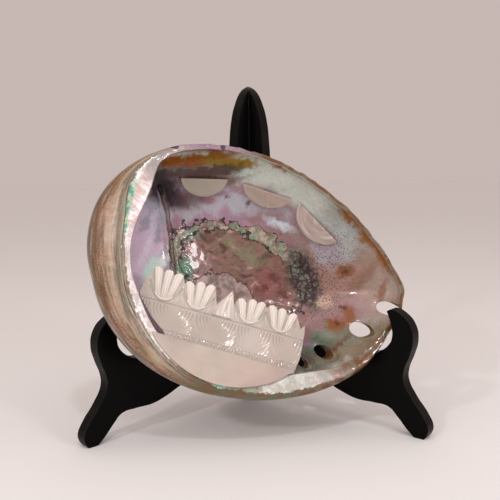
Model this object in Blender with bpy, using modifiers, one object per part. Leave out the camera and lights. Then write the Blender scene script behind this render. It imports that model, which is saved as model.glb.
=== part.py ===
"""An abalone shell fitted with mother-of-pearl plates, resting in a folding two-board plate stand.

The shell is modelled in its own frame, in millimetres: X runs along the shell to its front end, Y across
it to the thin outer lip, and Z out of the mouth, with the rim near Z = 0 and the bowl below it. Azimuths
are degrees round Z from +X. The stand is modelled round the line where its two boards meet.
"""

import math

import bmesh
import bpy
from mathutils import Matrix, Vector

MM = 0.001
GAP = 0.3  # clearance between pieces that touch
WELD = 0.01  # points closer than this are one

# How the shell sits: turned to one side, leaning back, with the middle of its mouth at this place from the
# floor point below the boards' meeting line
SHELL_TURN = 12.0
SHELL_LEAN = 21.0
MOUTH_CENTRE = (-5.6, -61.3, 96.3)

# The shell's outline and its turned-in left side: (azimuth, millimetres) once round
OUTLINE_RADIUS = (
    (0, 92.9), (8, 88.0), (16, 83.4), (25, 79.6), (40, 75.3), (55, 73.8), (71, 74.5), (87, 77.4),
    (98, 80.4), (108, 84.1), (117, 87.0), (128, 90.6), (139, 93.3), (149, 94.0), (158, 92.6), (168, 89.8),
    (179, 85.8), (192, 82.9), (205, 79.7), (217, 76.8), (230, 73.8), (245, 71.8), (260, 71.1), (273, 72.8),
    (285, 75.4), (298, 80.0), (309, 84.6), (318, 89.0), (326, 91.4), (335, 94.6), (342, 97.9), (348, 99.7),
    (352, 99.4), (356, 96.4),
)
OUTLINE_DEPTH = ((0, 2), (90, 2), (117, 3), (129, 5), (141, 7), (160, 10), (180, 10), (200, 9),
                 (220, 8), (240, 7), (270, 6), (300, 4), (330, 3))
CREST_RADIUS = (
    (0, 91.8), (8, 87.0), (16, 82.4), (25, 78.6), (40, 74.3), (55, 72.8), (71, 73.5), (87, 76.3),
    (98, 79.1), (108, 82.4), (117, 84.8), (126, 85.8), (132, 85.4), (138, 83.5), (144, 80.2), (150, 76.6),
    (158, 73.3), (166, 71.4), (175, 69.8), (185, 69.1), (193, 68.4), (202, 66.6), (210, 65.9), (225, 66.8),
    (240, 67.8), (255, 68.8), (269, 70.1), (280, 71.9), (290, 74.2), (298, 77.0), (305, 80.2), (312, 84.4),
    (319, 88.0), (326, 90.2), (335, 93.4), (342, 96.8), (348, 98.6), (352, 98.3), (356, 95.3),
)
CREST_HEIGHT = ((0, 0), (60, 0), (110, 1), (135, 3), (160, 4), (188, 3.0), (203, 0.2), (213, -0.5),
                (235, -0.7), (262, -0.7), (290, -0.2), (320, 0.5))
LIP_RADIUS = (
    (0, 89.9), (8, 85.1), (16, 80.5), (25, 76.7), (40, 72.4), (55, 70.9), (71, 71.5), (87, 74.2),
    (98, 76.8), (108, 79.7), (117, 81.4), (123, 80.8), (128, 77.2), (134, 72.8), (141, 70.0), (148, 68.8),
    (158, 67.6), (168, 66.2), (179, 64.4), (187, 62.6), (196, 61.5), (210, 61.0), (225, 60.8), (240, 60.6),
    (255, 60.6), (268, 60.9), (278, 61.7), (285, 62.9), (294, 65.8), (301, 69.5), (307, 73.8), (313, 78.0),
    (319, 81.9), (326, 86.0), (335, 91.0), (342, 94.6), (348, 96.4), (352, 96.1), (356, 93.2),
)
LIP_HEIGHT = ((0, -0.6), (60, -0.6), (110, 0.2), (130, 1.6), (160, 1.6), (188, 1.0), (202, -1.2),
              (212, -2.7), (230, -3.0), (260, -3.0), (280, -2.2), (290, -0.8), (310, -0.4), (335, -0.4))
UNDERCUT = ((0, 0.1), (100, 0.4), (115, 2.0), (128, 6.0), (145, 10), (180, 11), (210, 9), (240, 6.5),
            (270, 6), (290, 5), (305, 3), (318, 1.0), (335, 0.2))
WALL_DEPTH = ((0, 2.4), (90, 3), (115, 6), (135, 10), (160, 12), (180, 12), (210, 11), (240, 10),
              (270, 9), (300, 6), (318, 3.6), (335, 2.6))
# How square the bowl is where it leaves the rim: lower runs steeper at the edge
INNER_FULLNESS = ((0, 0.82), (60, 0.80), (110, 0.74), (140, 0.72), (180, 0.95), (205, 0.95), (235, 0.74),
                  (260, 0.70), (290, 0.86), (315, 0.96), (335, 0.90))
OUTER_FULLNESS = ((0, 0.79), (60, 0.78), (110, 0.70), (150, 0.78), (180, 0.96), (205, 0.96), (235, 0.76),
                  (260, 0.64), (290, 0.78), (315, 0.88), (335, 0.85))
INNER_DEPTH = 46.0
OUTER_DEPTH = 50.5
ROUNDNESS = 2.2
LIP_THICKNESS = 1.4
LIP_SLANT = 0.05
FLANK_FLATNESS = 3.4
# Where the section has points on the flank, as degrees up it, and one under the ledge
FLANK_TURNS = (35, 65, 90)
UNDERCUT_TURN = 50
SHELL_SHARP_ANGLE = 60

AZIMUTHS = 78
OUTER_RINGS = 15
INNER_RINGS = 11

# The spire, and the row of healed pores that runs from it round the back to the open ones
SPIRE_CENTRE = (-60, 42)
SPIRE_RADIUS = 17
SPIRE_HEIGHT = 5.0
SPIRE_FALL = 2.2
HEALED_PORES = ((-69, 24), (-70, 8), (-66, -8), (-58, -23), (-47, -35), (-33, -44), (-17, -50), (0, -53),
                (17, -54))
HEALED_PORE_RADIUS = 6.5
HEALED_PORE_HEIGHT = 2.4
HEALED_PORE_FALL = 2.5

# Open pores: (name, centre, width, length, turn of the long axis), and two chips out of the thin rim
OPEN_PORES = (
    ("pore_1", (35.2, -52.1), 7.0, 7.0, 0),
    ("pore_2", (48.2, -47.2), 7.6, 8.2, 30),
    ("pore_3", (72.2, -35.9), 8.2, 10.2, 30),
    ("pore_4", (89.1, -25.2), 8.0, 8.6, 60),
)
PORE_AXIS = (0.22, -0.24, 1.0)
PORE_DRILL_DEPTH = 24.0
PORE_DRILL_LOWER = 2
DRILL_SIDES = 20
CHIP_AXIS = (0, 0.5, 1)
CHIP_DEPTH = 9.0
RIM_CHIPS = (("chip_1", (-35.0, 77.0), 3.4, 5.2), ("chip_2", (-6.0, 77.6), 4.0, 3.4))

# Half-moon plates on the upper wall: where the chord starts and ends, and how far the arc stands off it
HALF_MOONS = (
    ("half_moon_left", (-29.6, 66.0), (-0.4, 64.2), (-14.6, 56.2)),
    ("half_moon_middle", (9.4, 61.6), (38.9, 48.9), (23.2, 47.4)),
    ("half_moon_right", (43.8, 46.0), (66.0, 20.6), (48.4, 27.8)),
)
HALF_MOON_THICKNESS = 1.0
HALF_MOON_LIFT = 0.9
HALF_MOON_STEPS = 18

# The large half-moon that closes the lower left as a pocket: chord ends and lowest point of its arc
POCKET_CHORD = ((-55.4, -30.4), (22.6, -58.4))
POCKET_LOW_POINT = (-11.0, -64.7)
POCKET_THICKNESS = 1.4
POCKET_BACK = -0.8
POCKET_STEPS = 30

# The carved plate tucked behind it, in its own frame: origin at the lip, u along, w up
CARVED_ORIGIN = (-50.3, -30.1, -5.4)
CARVED_TURN = -19.0
CARVED_LEAN = 8.0
CARVED_THICKNESS = 1.8
CARVED_RELIEF = 0.9
CARVED_BORDER = 17.0
CARVED_LEFT_EDGE = ((7.0, -6.0), (1.2, 0.6), (-6.6, 6.4), (-14.6, 15.0), (-16.9, 18.2), (-15.5, 27.4),
                    (-13.6, 31.6))
CARVED_RIGHT_EDGE = ((81.6, 25.9), (79.8, 23.2), (82.0, 20.6), (81.7, 6.2), (79.4, -4.4), (74.0, -6.0))
PETALS = ((-9.9, 36.5), (-3.4, 36.4), (2.8, 35.9), (9.6, 33.0), (16.1, 34.6), (22.3, 34.6), (41.2, 31.5),
          (47.9, 32.8), (53.5, 32.7), (60.1, 32.5), (66.3, 32.3), (73.5, 31.2))
PETAL_WIDTH = 5.9
PETAL_TURNS = (155, 115, 90, 65, 25)
FLOWER_BAND_ENDS = (-15.9, 81.8)
LEAF_TIP = (34.8, 34.7)
LEAF_FOOT = ((27.4, 23.8), (37.4, 26.2))

# The stand: two mirrored boards, each drawn by distance from the meeting line and height
BOARD_SPREAD = 50.4
BOARD_THICKNESS = 8.0
BOARD_EDGE_ROUNDING = 1.4
BOARD_ROUNDED_ANGLE = 50
BOARD_SHARP_ANGLE = 35
BOARD_CURVE_STEPS = 2
# The block that mitres a board's back edge, and the height of its middle
MITRE_BLOCK = (60, 80, 260)
MITRE_BLOCK_HEIGHT = 110
BOARD_OUTLINE = (
    (-12, 210.5), (-5, 208.2), (0, 205), (5.5, 195.6), (8.7, 184.5), (10.2, 172), (11.0, 160),
    (11.3, 146), (11.7, 132), (12.0, 120), (12.1, 108), (12.5, 99), (13.8, 91), (16.6, 82), (20.5, 74),
    (27, 65.5), (35.5, 58.5), (44.5, 53.5), (54, 49.8), (66, 46.8), (78, 45.6), (86, 45.4), (92, 46.2),
    (96.8, 48.8), (100.4, 52), (102.7, 56.5), (102.3, 64), (100.3, 69.6), (99.2, 72.2),
    (101.5, 73.3), (108.5, 70.9), (114.3, 64.4), (115.8, 56), (113.6, 47), (110.5, 38.5), (110.3, 32),
    (115.5, 22.5), (122.6, 13.5), (126, 6.6), (125.2, 2.6), (123.4, 0), (117.6, 0), (113, 4),
    (106.8, 10.5), (101.5, 15.0), (92, 15.8), (80, 15.8), (69.6, 18.4), (58, 22.8), (42, 27.5),
    (27, 27), (14, 20), (5.5, 10), (2.0, 0), (-12, 0),
)
BOARD_CORNERS = ((-12, 210.5), (99.2, 72.2), (123.4, 0), (117.6, 0), (2.0, 0), (-12, 0))


def around(keys, azimuth):
    """The value at an azimuth on a smooth curve through keys that go once round the shell."""
    azimuth %= 360
    count = len(keys)
    last = max(i for i in range(count) if keys[i][0] <= azimuth)

    def key(i):
        turns, index = divmod(i, count)
        return keys[index][0] + 360 * turns, keys[index][1]

    def slope(i):
        (a0, v0), (a1, v1) = key(i - 1), key(i + 1)
        return (v1 - v0) / (a1 - a0)

    (a0, v0), (a1, v1) = key(last), key(last + 1)
    span = a1 - a0
    t = (azimuth - a0) / span
    return (v0 * (2 * t**3 - 3 * t**2 + 1) + v1 * (3 * t**2 - 2 * t**3)
            + span * (slope(last) * (t**3 - 2 * t**2 + t) + slope(last + 1) * (t**3 - t**2)))


def bowl_height(radius, edge_radius, edge_depth, depth, fullness):
    """Height of a bowl that leaves its edge steeply and flattens to its full depth in the middle."""
    inward = max(0.0, 1 - (radius / edge_radius) ** ROUNDNESS)
    return -edge_depth - (depth - edge_depth) * inward ** fullness


def inner_edge(azimuth):
    """Radius and depth where the inside of the bowl meets the wall below the lip."""
    return around(LIP_RADIUS, azimuth) + around(UNDERCUT, azimuth), around(WALL_DEPTH, azimuth)


def inner_height(x, y):
    """Height of the inside of the bowl below a place in the mouth."""
    azimuth = math.degrees(math.atan2(y, x))
    radius, depth = inner_edge(azimuth)
    return bowl_height(math.hypot(x, y), radius, depth, INNER_DEPTH, around(INNER_FULLNESS, azimuth))


def outer_swelling(x, y):
    """How far the spire and the healed pores stand out of the back at a place."""
    from_spire = math.dist((x, y), SPIRE_CENTRE) / SPIRE_RADIUS
    swelling = SPIRE_HEIGHT * math.exp(-SPIRE_FALL * from_spire**2)
    for pore in HEALED_PORES:
        from_pore = math.dist((x, y), pore) / HEALED_PORE_RADIUS
        swelling += HEALED_PORE_HEIGHT * math.exp(-HEALED_PORE_FALL * from_pore**2)
    return swelling


def shell_section(azimuth):
    """The shell's half section as (radius, height), from the middle of the back round to the inside."""
    outline = around(OUTLINE_RADIUS, azimuth)
    outline_depth = around(OUTLINE_DEPTH, azimuth)
    crest = around(CREST_RADIUS, azimuth)
    crest_height = around(CREST_HEIGHT, azimuth)
    lip = around(LIP_RADIUS, azimuth)
    lip_height = around(LIP_HEIGHT, azimuth)
    wall, wall_depth = inner_edge(azimuth)
    section = []
    for ring in range(1, OUTER_RINGS + 1):
        radius = outline * math.sin(math.radians(90 * ring / OUTER_RINGS))
        height = bowl_height(radius, outline, outline_depth, OUTER_DEPTH, around(OUTER_FULLNESS, azimuth))
        section.append((radius, height))
    for turn in map(math.radians, FLANK_TURNS):
        section.append((crest + (outline - crest) * math.cos(turn) ** FLANK_FLATNESS,
                        -outline_depth + (crest_height + outline_depth) * math.sin(turn)))
    section.append((lip, lip_height))
    lip_under = lip_height - LIP_THICKNESS
    section.append((lip + LIP_SLANT, lip_under))
    turn = math.radians(UNDERCUT_TURN)
    section.append((lip + (wall - lip) * math.sin(turn),
                    lip_under - (wall_depth + lip_under) * (1 - math.cos(turn))))
    section.append((wall, -wall_depth))
    for ring in range(INNER_RINGS - 1, 0, -1):
        radius = wall * math.sin(math.radians(90 * ring / INNER_RINGS))
        height = bowl_height(radius, wall, wall_depth, INNER_DEPTH, around(INNER_FULLNESS, azimuth))
        section.append((radius, height))
    return section


def principled(name, color, roughness):
    material = bpy.data.materials.new(name)
    material.use_nodes = True
    shader = material.node_tree.nodes["Principled BSDF"]
    shader.inputs["Base Color"].default_value = (*color, 1)
    shader.inputs["Roughness"].default_value = roughness
    return material


def add_object(name, data, collection, parent, material=None):
    made = bpy.data.objects.new(name, data)
    collection.objects.link(made)
    made.parent = parent
    if material:
        data.materials.append(material)
    return made


def shell_mesh():
    """A closed loft: a ring of points for every step of the section, and a point at each pole."""
    mesh = bmesh.new()
    sections = []
    for step in range(AZIMUTHS):
        azimuth = 360 * step / AZIMUTHS
        direction = Vector((math.cos(math.radians(azimuth)), math.sin(math.radians(azimuth)), 0))
        column = []
        for index, (radius, height) in enumerate(shell_section(azimuth)):
            point = direction * radius + Vector((0, 0, height))
            if index < OUTER_RINGS:
                steepness = radius / around(OUTLINE_RADIUS, azimuth)
                outward = (direction * steepness**2 - Vector((0, 0, 1 - steepness**2 + 0.25))).normalized()
                point += outward * outer_swelling(point.x, point.y) * min(1, 4 * (1 - steepness) + 0.15)
            column.append(mesh.verts.new(point * MM))
        sections.append(column)
    outer_pole = mesh.verts.new((0, 0, -(OUTER_DEPTH + outer_swelling(0, 0)) * MM))
    inner_pole = mesh.verts.new((0, 0, -INNER_DEPTH * MM))
    for step in range(AZIMUTHS):
        here, ahead = sections[step], sections[(step + 1) % AZIMUTHS]
        mesh.faces.new((outer_pole, ahead[0], here[0]))
        for index in range(len(here) - 1):
            mesh.faces.new((here[index], ahead[index], ahead[index + 1], here[index + 1]))
        mesh.faces.new((here[-1], ahead[-1], inner_pole))
    bmesh.ops.triangulate(mesh, faces=mesh.faces[:])
    data = bpy.data.meshes.new("shell")
    mesh.to_mesh(data)
    mesh.free()
    data.shade_smooth()
    data.set_sharp_from_angle(angle=math.radians(SHELL_SHARP_ANGLE))
    return data


def add_drill(name, cutters, parent, centre, size, turn, axis):
    """An oval drill of a width, length and depth, through a place given in the shell's frame."""
    data = bpy.data.meshes.new(name)
    mesh = bmesh.new()
    bmesh.ops.create_cone(mesh, cap_ends=True, segments=DRILL_SIDES, radius1=0.5, radius2=0.5, depth=1)
    width, length, depth = size
    bmesh.ops.scale(mesh, verts=mesh.verts, vec=Vector((length, width, depth)) * MM)
    mesh.to_mesh(data)
    mesh.free()
    cutter = add_object(name, data, cutters, parent)
    place = Matrix.Translation(Vector(centre) * MM)
    tilt = Vector((0, 0, 1)).rotation_difference(Vector(axis)).to_matrix().to_4x4()
    cutter.matrix_local = place @ tilt @ Matrix.Rotation(math.radians(turn), 4, "Z")
    cutter.hide_render = True
    cutter.display_type = "WIRE"
    return cutter


def cut(target, cutter):
    modifier = target.modifiers.new(cutter.name, "BOOLEAN")
    modifier.object = cutter
    modifier.operation = "DIFFERENCE"
    modifier.solver = "EXACT"


def build_shell(parts, cutters, seat):
    nacre = principled("abalone_nacre", (0.60, 0.50, 0.48), 0.25)
    shell = add_object("shell", shell_mesh(), parts, seat, nacre)
    for name, (x, y), width, length, turn in OPEN_PORES:
        size = (width, length, PORE_DRILL_DEPTH)
        centre = (x, y, inner_height(x, y) - PORE_DRILL_LOWER)
        cut(shell, add_drill(name, cutters, seat, centre, size, turn, PORE_AXIS))
    for name, (x, y), width, length in RIM_CHIPS:
        size = (width, length, CHIP_DEPTH)
        cut(shell, add_drill(name, cutters, seat, (x, y, 0), size, 0, CHIP_AXIS))
    return shell


def arc_through(start, low_point, end, steps):
    """Points along the circular arc from start to end through a point between them, ends included."""
    (ax, ay), (bx, by), (cx, cy) = start, low_point, end
    d = 2 * (ax * (by - cy) + bx * (cy - ay) + cx * (ay - by))
    ux = ((ax**2 + ay**2) * (by - cy) + (bx**2 + by**2) * (cy - ay) + (cx**2 + cy**2) * (ay - by)) / d
    uy = ((ax**2 + ay**2) * (cx - bx) + (bx**2 + by**2) * (ax - cx) + (cx**2 + cy**2) * (bx - ax)) / d
    radius = math.dist((ux, uy), start)
    first = math.atan2(ay - uy, ax - ux)
    sweep = (math.atan2(cy - uy, cx - ux) - first) % math.tau
    middle = (math.atan2(by - uy, bx - ux) - first) % math.tau
    if middle > sweep:
        sweep -= math.tau
    turns = [first + sweep * step / steps for step in range(steps + 1)]
    return [(ux + radius * math.cos(turn), uy + radius * math.sin(turn)) for turn in turns]


def flat_curve(name, points, thickness, corners=None):
    """A filled flat outline with a thickness: straight between points, or smooth except at corners."""
    curve = bpy.data.curves.new(name, "CURVE")
    curve.dimensions = "2D"
    curve.fill_mode = "BOTH"
    curve.extrude = thickness * MM / 2
    if corners is None:
        spline = curve.splines.new("POLY")
        spline.points.add(len(points) - 1)
        for target, (x, y) in zip(spline.points, points):
            target.co = (x * MM, y * MM, 0, 1)
    else:
        spline = curve.splines.new("BEZIER")
        spline.bezier_points.add(len(points) - 1)
        spline.resolution_u = BOARD_CURVE_STEPS
        for target, point in zip(spline.bezier_points, points):
            target.co = (point[0] * MM, point[1] * MM, 0)
            kind = "VECTOR" if point in corners else "AUTO"
            target.handle_left_type = kind
            target.handle_right_type = kind
    spline.use_cyclic_u = True
    return curve


def curve_to_mesh(curve_object, parts, parent, material):
    """The curve's solid as a mesh with welded caps, in the curve's place."""
    bpy.context.view_layer.update()
    graph = bpy.context.evaluated_depsgraph_get()
    data = bpy.data.meshes.new_from_object(curve_object.evaluated_get(graph))
    name = curve_object.name
    place = curve_object.matrix_local.copy()
    curve = curve_object.data
    bpy.data.objects.remove(curve_object)
    bpy.data.curves.remove(curve)
    mesh = bmesh.new()
    mesh.from_mesh(data)
    bmesh.ops.remove_doubles(mesh, verts=mesh.verts, dist=WELD * MM)
    mesh.to_mesh(data)
    mesh.free()
    data.materials.clear()
    made = add_object(name, data, parts, parent, material)
    made.matrix_local = place
    return made


def plane_matrix(origin, along, normal):
    """A place whose X runs along a line and whose Z is the normal."""
    z = normal.normalized()
    x = (along - z * along.dot(z)).normalized()
    y = z.cross(x)
    return Matrix.Translation(origin * MM) @ Matrix((x, y, z)).transposed().to_4x4()


def build_half_moons(parts, seat):
    """Each small plate lies in the plane of three places on the wall, lifted clear of it."""
    pearl = principled("pale_pearl", (0.66, 0.58, 0.54), 0.3)
    for name, start, end, low_point in HALF_MOONS:
        corners = [Vector((*place, inner_height(*place))) for place in (start, end, low_point)]
        along = corners[1] - corners[0]
        normal = along.cross(corners[2] - corners[0])
        if normal.z < 0:
            normal.negate()
        lift = HALF_MOON_LIFT + HALF_MOON_THICKNESS / 2
        frame = plane_matrix(corners[0] + normal.normalized() * lift, along, normal)
        inverse = frame.inverted()
        flat = []
        for corner in corners:
            local = inverse @ ((corner + normal.normalized() * lift) * MM) / MM
            flat.append((local.x, local.y))
        outline = arc_through(flat[0], flat[2], flat[1], HALF_MOON_STEPS)
        plate = add_object(name, flat_curve(name, outline, HALF_MOON_THICKNESS), parts, seat)
        plate.matrix_local = frame
        curve_to_mesh(plate, parts, seat, pearl)


def build_pocket_front(parts, seat):
    """The large half-moon lies flat on the lower ledge, its straight edge free."""
    pearl = principled("clear_pearl", (0.70, 0.62, 0.58), 0.25)
    outline = arc_through(POCKET_CHORD[0], POCKET_LOW_POINT, POCKET_CHORD[1], POCKET_STEPS)
    curve = flat_curve("pocket_front", outline, POCKET_THICKNESS)
    front = add_object("pocket_front", curve, parts, seat)
    front.location.z = (POCKET_BACK + POCKET_THICKNESS / 2) * MM
    curve_to_mesh(front, parts, seat, pearl)


def petal_edge():
    """The scalloped top edge of the carved plate, from left to right."""
    edge = []
    for u, w in PETALS:
        if edge and u > LEAF_TIP[0] > edge[-1][0]:
            edge += [LEAF_FOOT[0], LEAF_TIP, LEAF_FOOT[1]]
        for turn in PETAL_TURNS:
            angle = math.radians(turn)
            edge.append((u + PETAL_WIDTH / 2 * math.cos(angle), w - PETAL_WIDTH / 2 * (1 - math.sin(angle))))
    return edge


def build_carved_plate(parts, seat):
    """A flat plate with a scalloped top, and its flower band standing proud above the border line."""
    pearl = principled("carved_pearl", (0.72, 0.64, 0.60), 0.25)
    rotation = Matrix.Rotation(math.radians(CARVED_TURN), 4, "Z") @ Matrix.Rotation(
        math.radians(-CARVED_LEAN), 4, "X")
    place = Matrix.Translation(Vector(CARVED_ORIGIN) * MM) @ rotation
    outline = [*CARVED_LEFT_EDGE, *petal_edge(), *CARVED_RIGHT_EDGE]
    plate = add_object("carved_plate", flat_curve("carved_plate", outline, CARVED_THICKNESS), parts, seat)
    plate.matrix_local = place
    plate = curve_to_mesh(plate, parts, seat, pearl)
    band = [(u, w) for u, w in outline if w >= CARVED_BORDER]
    left_end, right_end = FLOWER_BAND_ENDS
    band = [(left_end, CARVED_BORDER), *band, (right_end, CARVED_BORDER)]
    raised = add_object("flower_band", flat_curve("flower_band", band, CARVED_RELIEF * 2), parts, seat)
    raised.matrix_local = place @ Matrix.Translation((0, 0, CARVED_THICKNESS * MM / 2))
    raised = curve_to_mesh(raised, parts, seat, pearl)
    raised.hide_render = True
    raised.display_type = "WIRE"
    join = plate.modifiers.new("flower_band", "BOOLEAN")
    join.object = raised
    join.operation = "UNION"
    join.solver = "EXACT"
    return plate, raised


def build_board(parts, cutters, stand, side):
    """One board of the stand: side is 1 for the right board, and -1 for its mirror image."""
    name = "stand_board_right" if side > 0 else "stand_board_left"
    lacquer = principled(name + "_lacquer", (0.012, 0.011, 0.012), 0.3)
    board = add_object(name, flat_curve(name, BOARD_OUTLINE, BOARD_THICKNESS, BOARD_CORNERS), parts, stand)
    spread = math.radians(BOARD_SPREAD)
    along = Vector((math.sin(spread), -math.cos(spread), 0))
    outward = Vector((math.cos(spread), math.sin(spread), 0))
    place = Matrix((along, Vector((0, 0, 1)), -outward)).transposed().to_4x4()
    place.translation = outward * BOARD_THICKNESS * MM / 2
    board.matrix_local = place
    board = curve_to_mesh(board, parts, stand, lacquer)
    board.data.transform(place)
    board.matrix_local = Matrix.Identity(4)
    if side < 0:
        board.data.transform(Matrix.Scale(-1, 4, (1, 0, 0)))
        board.data.flip_normals()
    cutter_data = bpy.data.meshes.new(name + "_mitre")
    mesh = bmesh.new()
    bmesh.ops.create_cube(mesh, size=1)
    bmesh.ops.scale(mesh, verts=mesh.verts, vec=Vector(MITRE_BLOCK) * MM)
    mesh.to_mesh(cutter_data)
    mesh.free()
    cutter = add_object(name + "_mitre", cutter_data, cutters, stand)
    cutter.location = Vector((side * (GAP - MITRE_BLOCK[0]) / 2, 0, MITRE_BLOCK_HEIGHT)) * MM
    cutter.hide_render = True
    cutter.display_type = "WIRE"
    cut(board, cutter)
    rounding = board.modifiers.new("rounding", "BEVEL")
    rounding.width = BOARD_EDGE_ROUNDING * MM
    rounding.segments = 2
    rounding.limit_method = "ANGLE"
    rounding.angle_limit = math.radians(BOARD_ROUNDED_ANGLE)
    board.data.shade_smooth()
    board.data.set_sharp_from_angle(angle=math.radians(BOARD_SHARP_ANGLE))
    return board


def settle(parts, root):
    """Move everything so that the origin is on the floor, under the middle of the whole."""
    bpy.context.view_layer.update()
    graph = bpy.context.evaluated_depsgraph_get()
    corners = []
    for part in parts.objects:
        mesh = part.evaluated_get(graph).to_mesh()
        corners += [part.matrix_world @ vertex.co for vertex in mesh.vertices]
        part.evaluated_get(graph).to_mesh_clear()
    low = [min(corner[axis] for corner in corners) for axis in range(3)]
    high = [max(corner[axis] for corner in corners) for axis in range(3)]
    root.location = (-(low[0] + high[0]) / 2, -(low[1] + high[1]) / 2, -low[2])
    bpy.context.view_layer.update()


def main():
    for old in list(bpy.data.objects):
        bpy.data.objects.remove(old, do_unlink=True)
    scene = bpy.context.scene
    parts = bpy.data.collections.new("abalone_shell")
    cutters = bpy.data.collections.new("cutters")
    guides = bpy.data.collections.new("guides")
    for collection in (parts, cutters, guides):
        scene.collection.children.link(collection)
    root = add_object("abalone_on_stand", None, guides, None)
    seat = add_object("shell_seat", None, guides, root)
    seat.location = Vector(MOUTH_CENTRE) * MM
    seat.rotation_euler = (math.radians(90 - SHELL_LEAN), 0, math.radians(SHELL_TURN))
    build_shell(parts, cutters, seat)
    build_half_moons(parts, seat)
    build_pocket_front(parts, seat)
    plate, raised = build_carved_plate(parts, seat)
    parts.objects.unlink(raised)
    cutters.objects.link(raised)
    for side in (1, -1):
        build_board(parts, cutters, root, side)
    settle(parts, root)


main()
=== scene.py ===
"""A polished abalone shell set with mother-of-pearl plates, leaning in a black stand of two boards.

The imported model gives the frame. Each section below makes one piece, in the order in which the real thing
is put together: the stand, the shell, the half-moon plates, the pocket and the carved plate.
Sizes are in millimetres unless a line says otherwise.
"""

import math

import bmesh
import bpy
import numpy as np
from mathutils import Matrix, Vector, kdtree, noise


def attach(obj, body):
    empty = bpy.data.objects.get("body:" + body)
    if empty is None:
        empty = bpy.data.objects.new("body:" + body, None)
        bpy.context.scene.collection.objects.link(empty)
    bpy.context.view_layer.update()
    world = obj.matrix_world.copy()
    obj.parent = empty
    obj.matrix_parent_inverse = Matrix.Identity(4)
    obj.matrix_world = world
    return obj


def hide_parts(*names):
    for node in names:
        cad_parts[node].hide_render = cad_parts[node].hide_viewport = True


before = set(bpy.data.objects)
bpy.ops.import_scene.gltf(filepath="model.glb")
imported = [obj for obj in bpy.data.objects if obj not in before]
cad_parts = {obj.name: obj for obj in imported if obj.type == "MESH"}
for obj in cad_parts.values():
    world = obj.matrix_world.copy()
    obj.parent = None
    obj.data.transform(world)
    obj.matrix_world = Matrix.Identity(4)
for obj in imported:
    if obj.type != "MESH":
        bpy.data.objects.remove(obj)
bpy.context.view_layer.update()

# The stand: two boards sawn from thin hardwood to the same outline, mitred where they meet at the back,
# with rounded edges, and finished in black lacquer that shows a little brown wood where edges have worn.
MM = 0.001
SLIVER = 0.01
STAND_PLACE = Vector((0.0, 39.23, 0.0)) * MM
BOARD_SPREAD = math.radians(50.4)
BOARD_THICKNESS = 8.0
BOARD_ROUNDING = 1.4
BOARD_ROUNDING_STEPS = 4
BOARD_ROUNDED_ANGLE = 50
BOARD_SHARP_ANGLE = 35
BOARD_CURVE_STEPS = 8
BOARD_GAP = 0.3
BOARD_OUTLINE = (
    (-12, 210.5), (-5, 208.2), (0, 205), (5.5, 195.6), (8.7, 184.5), (10.2, 172), (11.0, 160),
    (11.3, 146), (11.7, 132), (12.0, 120), (12.1, 108), (12.5, 99), (13.8, 91), (16.6, 82), (20.5, 74),
    (27, 65.5), (35.5, 58.5), (44.5, 53.5), (54, 49.8), (66, 46.8), (78, 45.6), (86, 45.4), (92, 46.2),
    (96.8, 48.8), (100.4, 52), (102.7, 56.5), (102.3, 64), (100.3, 69.6), (99.2, 72.2),
    (101.5, 73.3), (108.5, 70.9), (114.3, 64.4), (115.8, 56), (113.6, 47), (110.5, 38.5), (110.3, 32),
    (115.5, 22.5), (122.6, 13.5), (126, 6.6), (125.2, 2.6), (123.4, 0), (117.6, 0), (113, 4),
    (106.8, 10.5), (101.5, 15.0), (92, 15.8), (80, 15.8), (69.6, 18.4), (58, 22.8), (42, 27.5),
    (27, 27), (14, 20), (5.5, 10), (2.0, 0), (-12, 0),
)
BOARD_CORNERS = ((-12, 210.5), (99.2, 72.2), (123.4, 0), (117.6, 0), (2.0, 0), (-12, 0))


def paint(red, green, blue):
    """A colour as the eye reads it on a screen, 0 to 255, as the linear values that a shader takes."""
    return (*(((c / 255 + 0.055) / 1.055) ** 2.4 for c in (red, green, blue)), 1.0)


class Shade:
    """A value that varies over a surface. Arithmetic on it adds Math nodes to its finish."""

    def __init__(self, finish, socket):
        self.finish = finish
        self.socket = socket

    def __add__(self, other):
        return self.finish.math("ADD", self, other)

    def __sub__(self, other):
        return self.finish.math("SUBTRACT", self, other)

    def __rsub__(self, other):
        return self.finish.math("SUBTRACT", other, self)

    def __mul__(self, other):
        return self.finish.math("MULTIPLY", self, other)

    def __truediv__(self, other):
        return self.finish.math("DIVIDE", self, other)

    def __pow__(self, other):
        return self.finish.math("POWER", self, other)

    def __abs__(self):
        return self.finish.math("ABSOLUTE", self)

    __radd__ = __add__
    __rmul__ = __mul__

    def rises(self, low, high):
        """0 below low, 1 above high, and smooth between them."""
        settings = {"interpolation_type": "SMOOTHSTEP"}
        inputs = {"Value": self, "From Min": low, "From Max": high}
        return self.finish.node("ShaderNodeMapRange", settings, inputs)

    def peaks(self, middle, width):
        """1 at a middle value, falling smoothly to 0 at a width on either side."""
        return 1 - abs(self - middle).rises(0, width)


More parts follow.
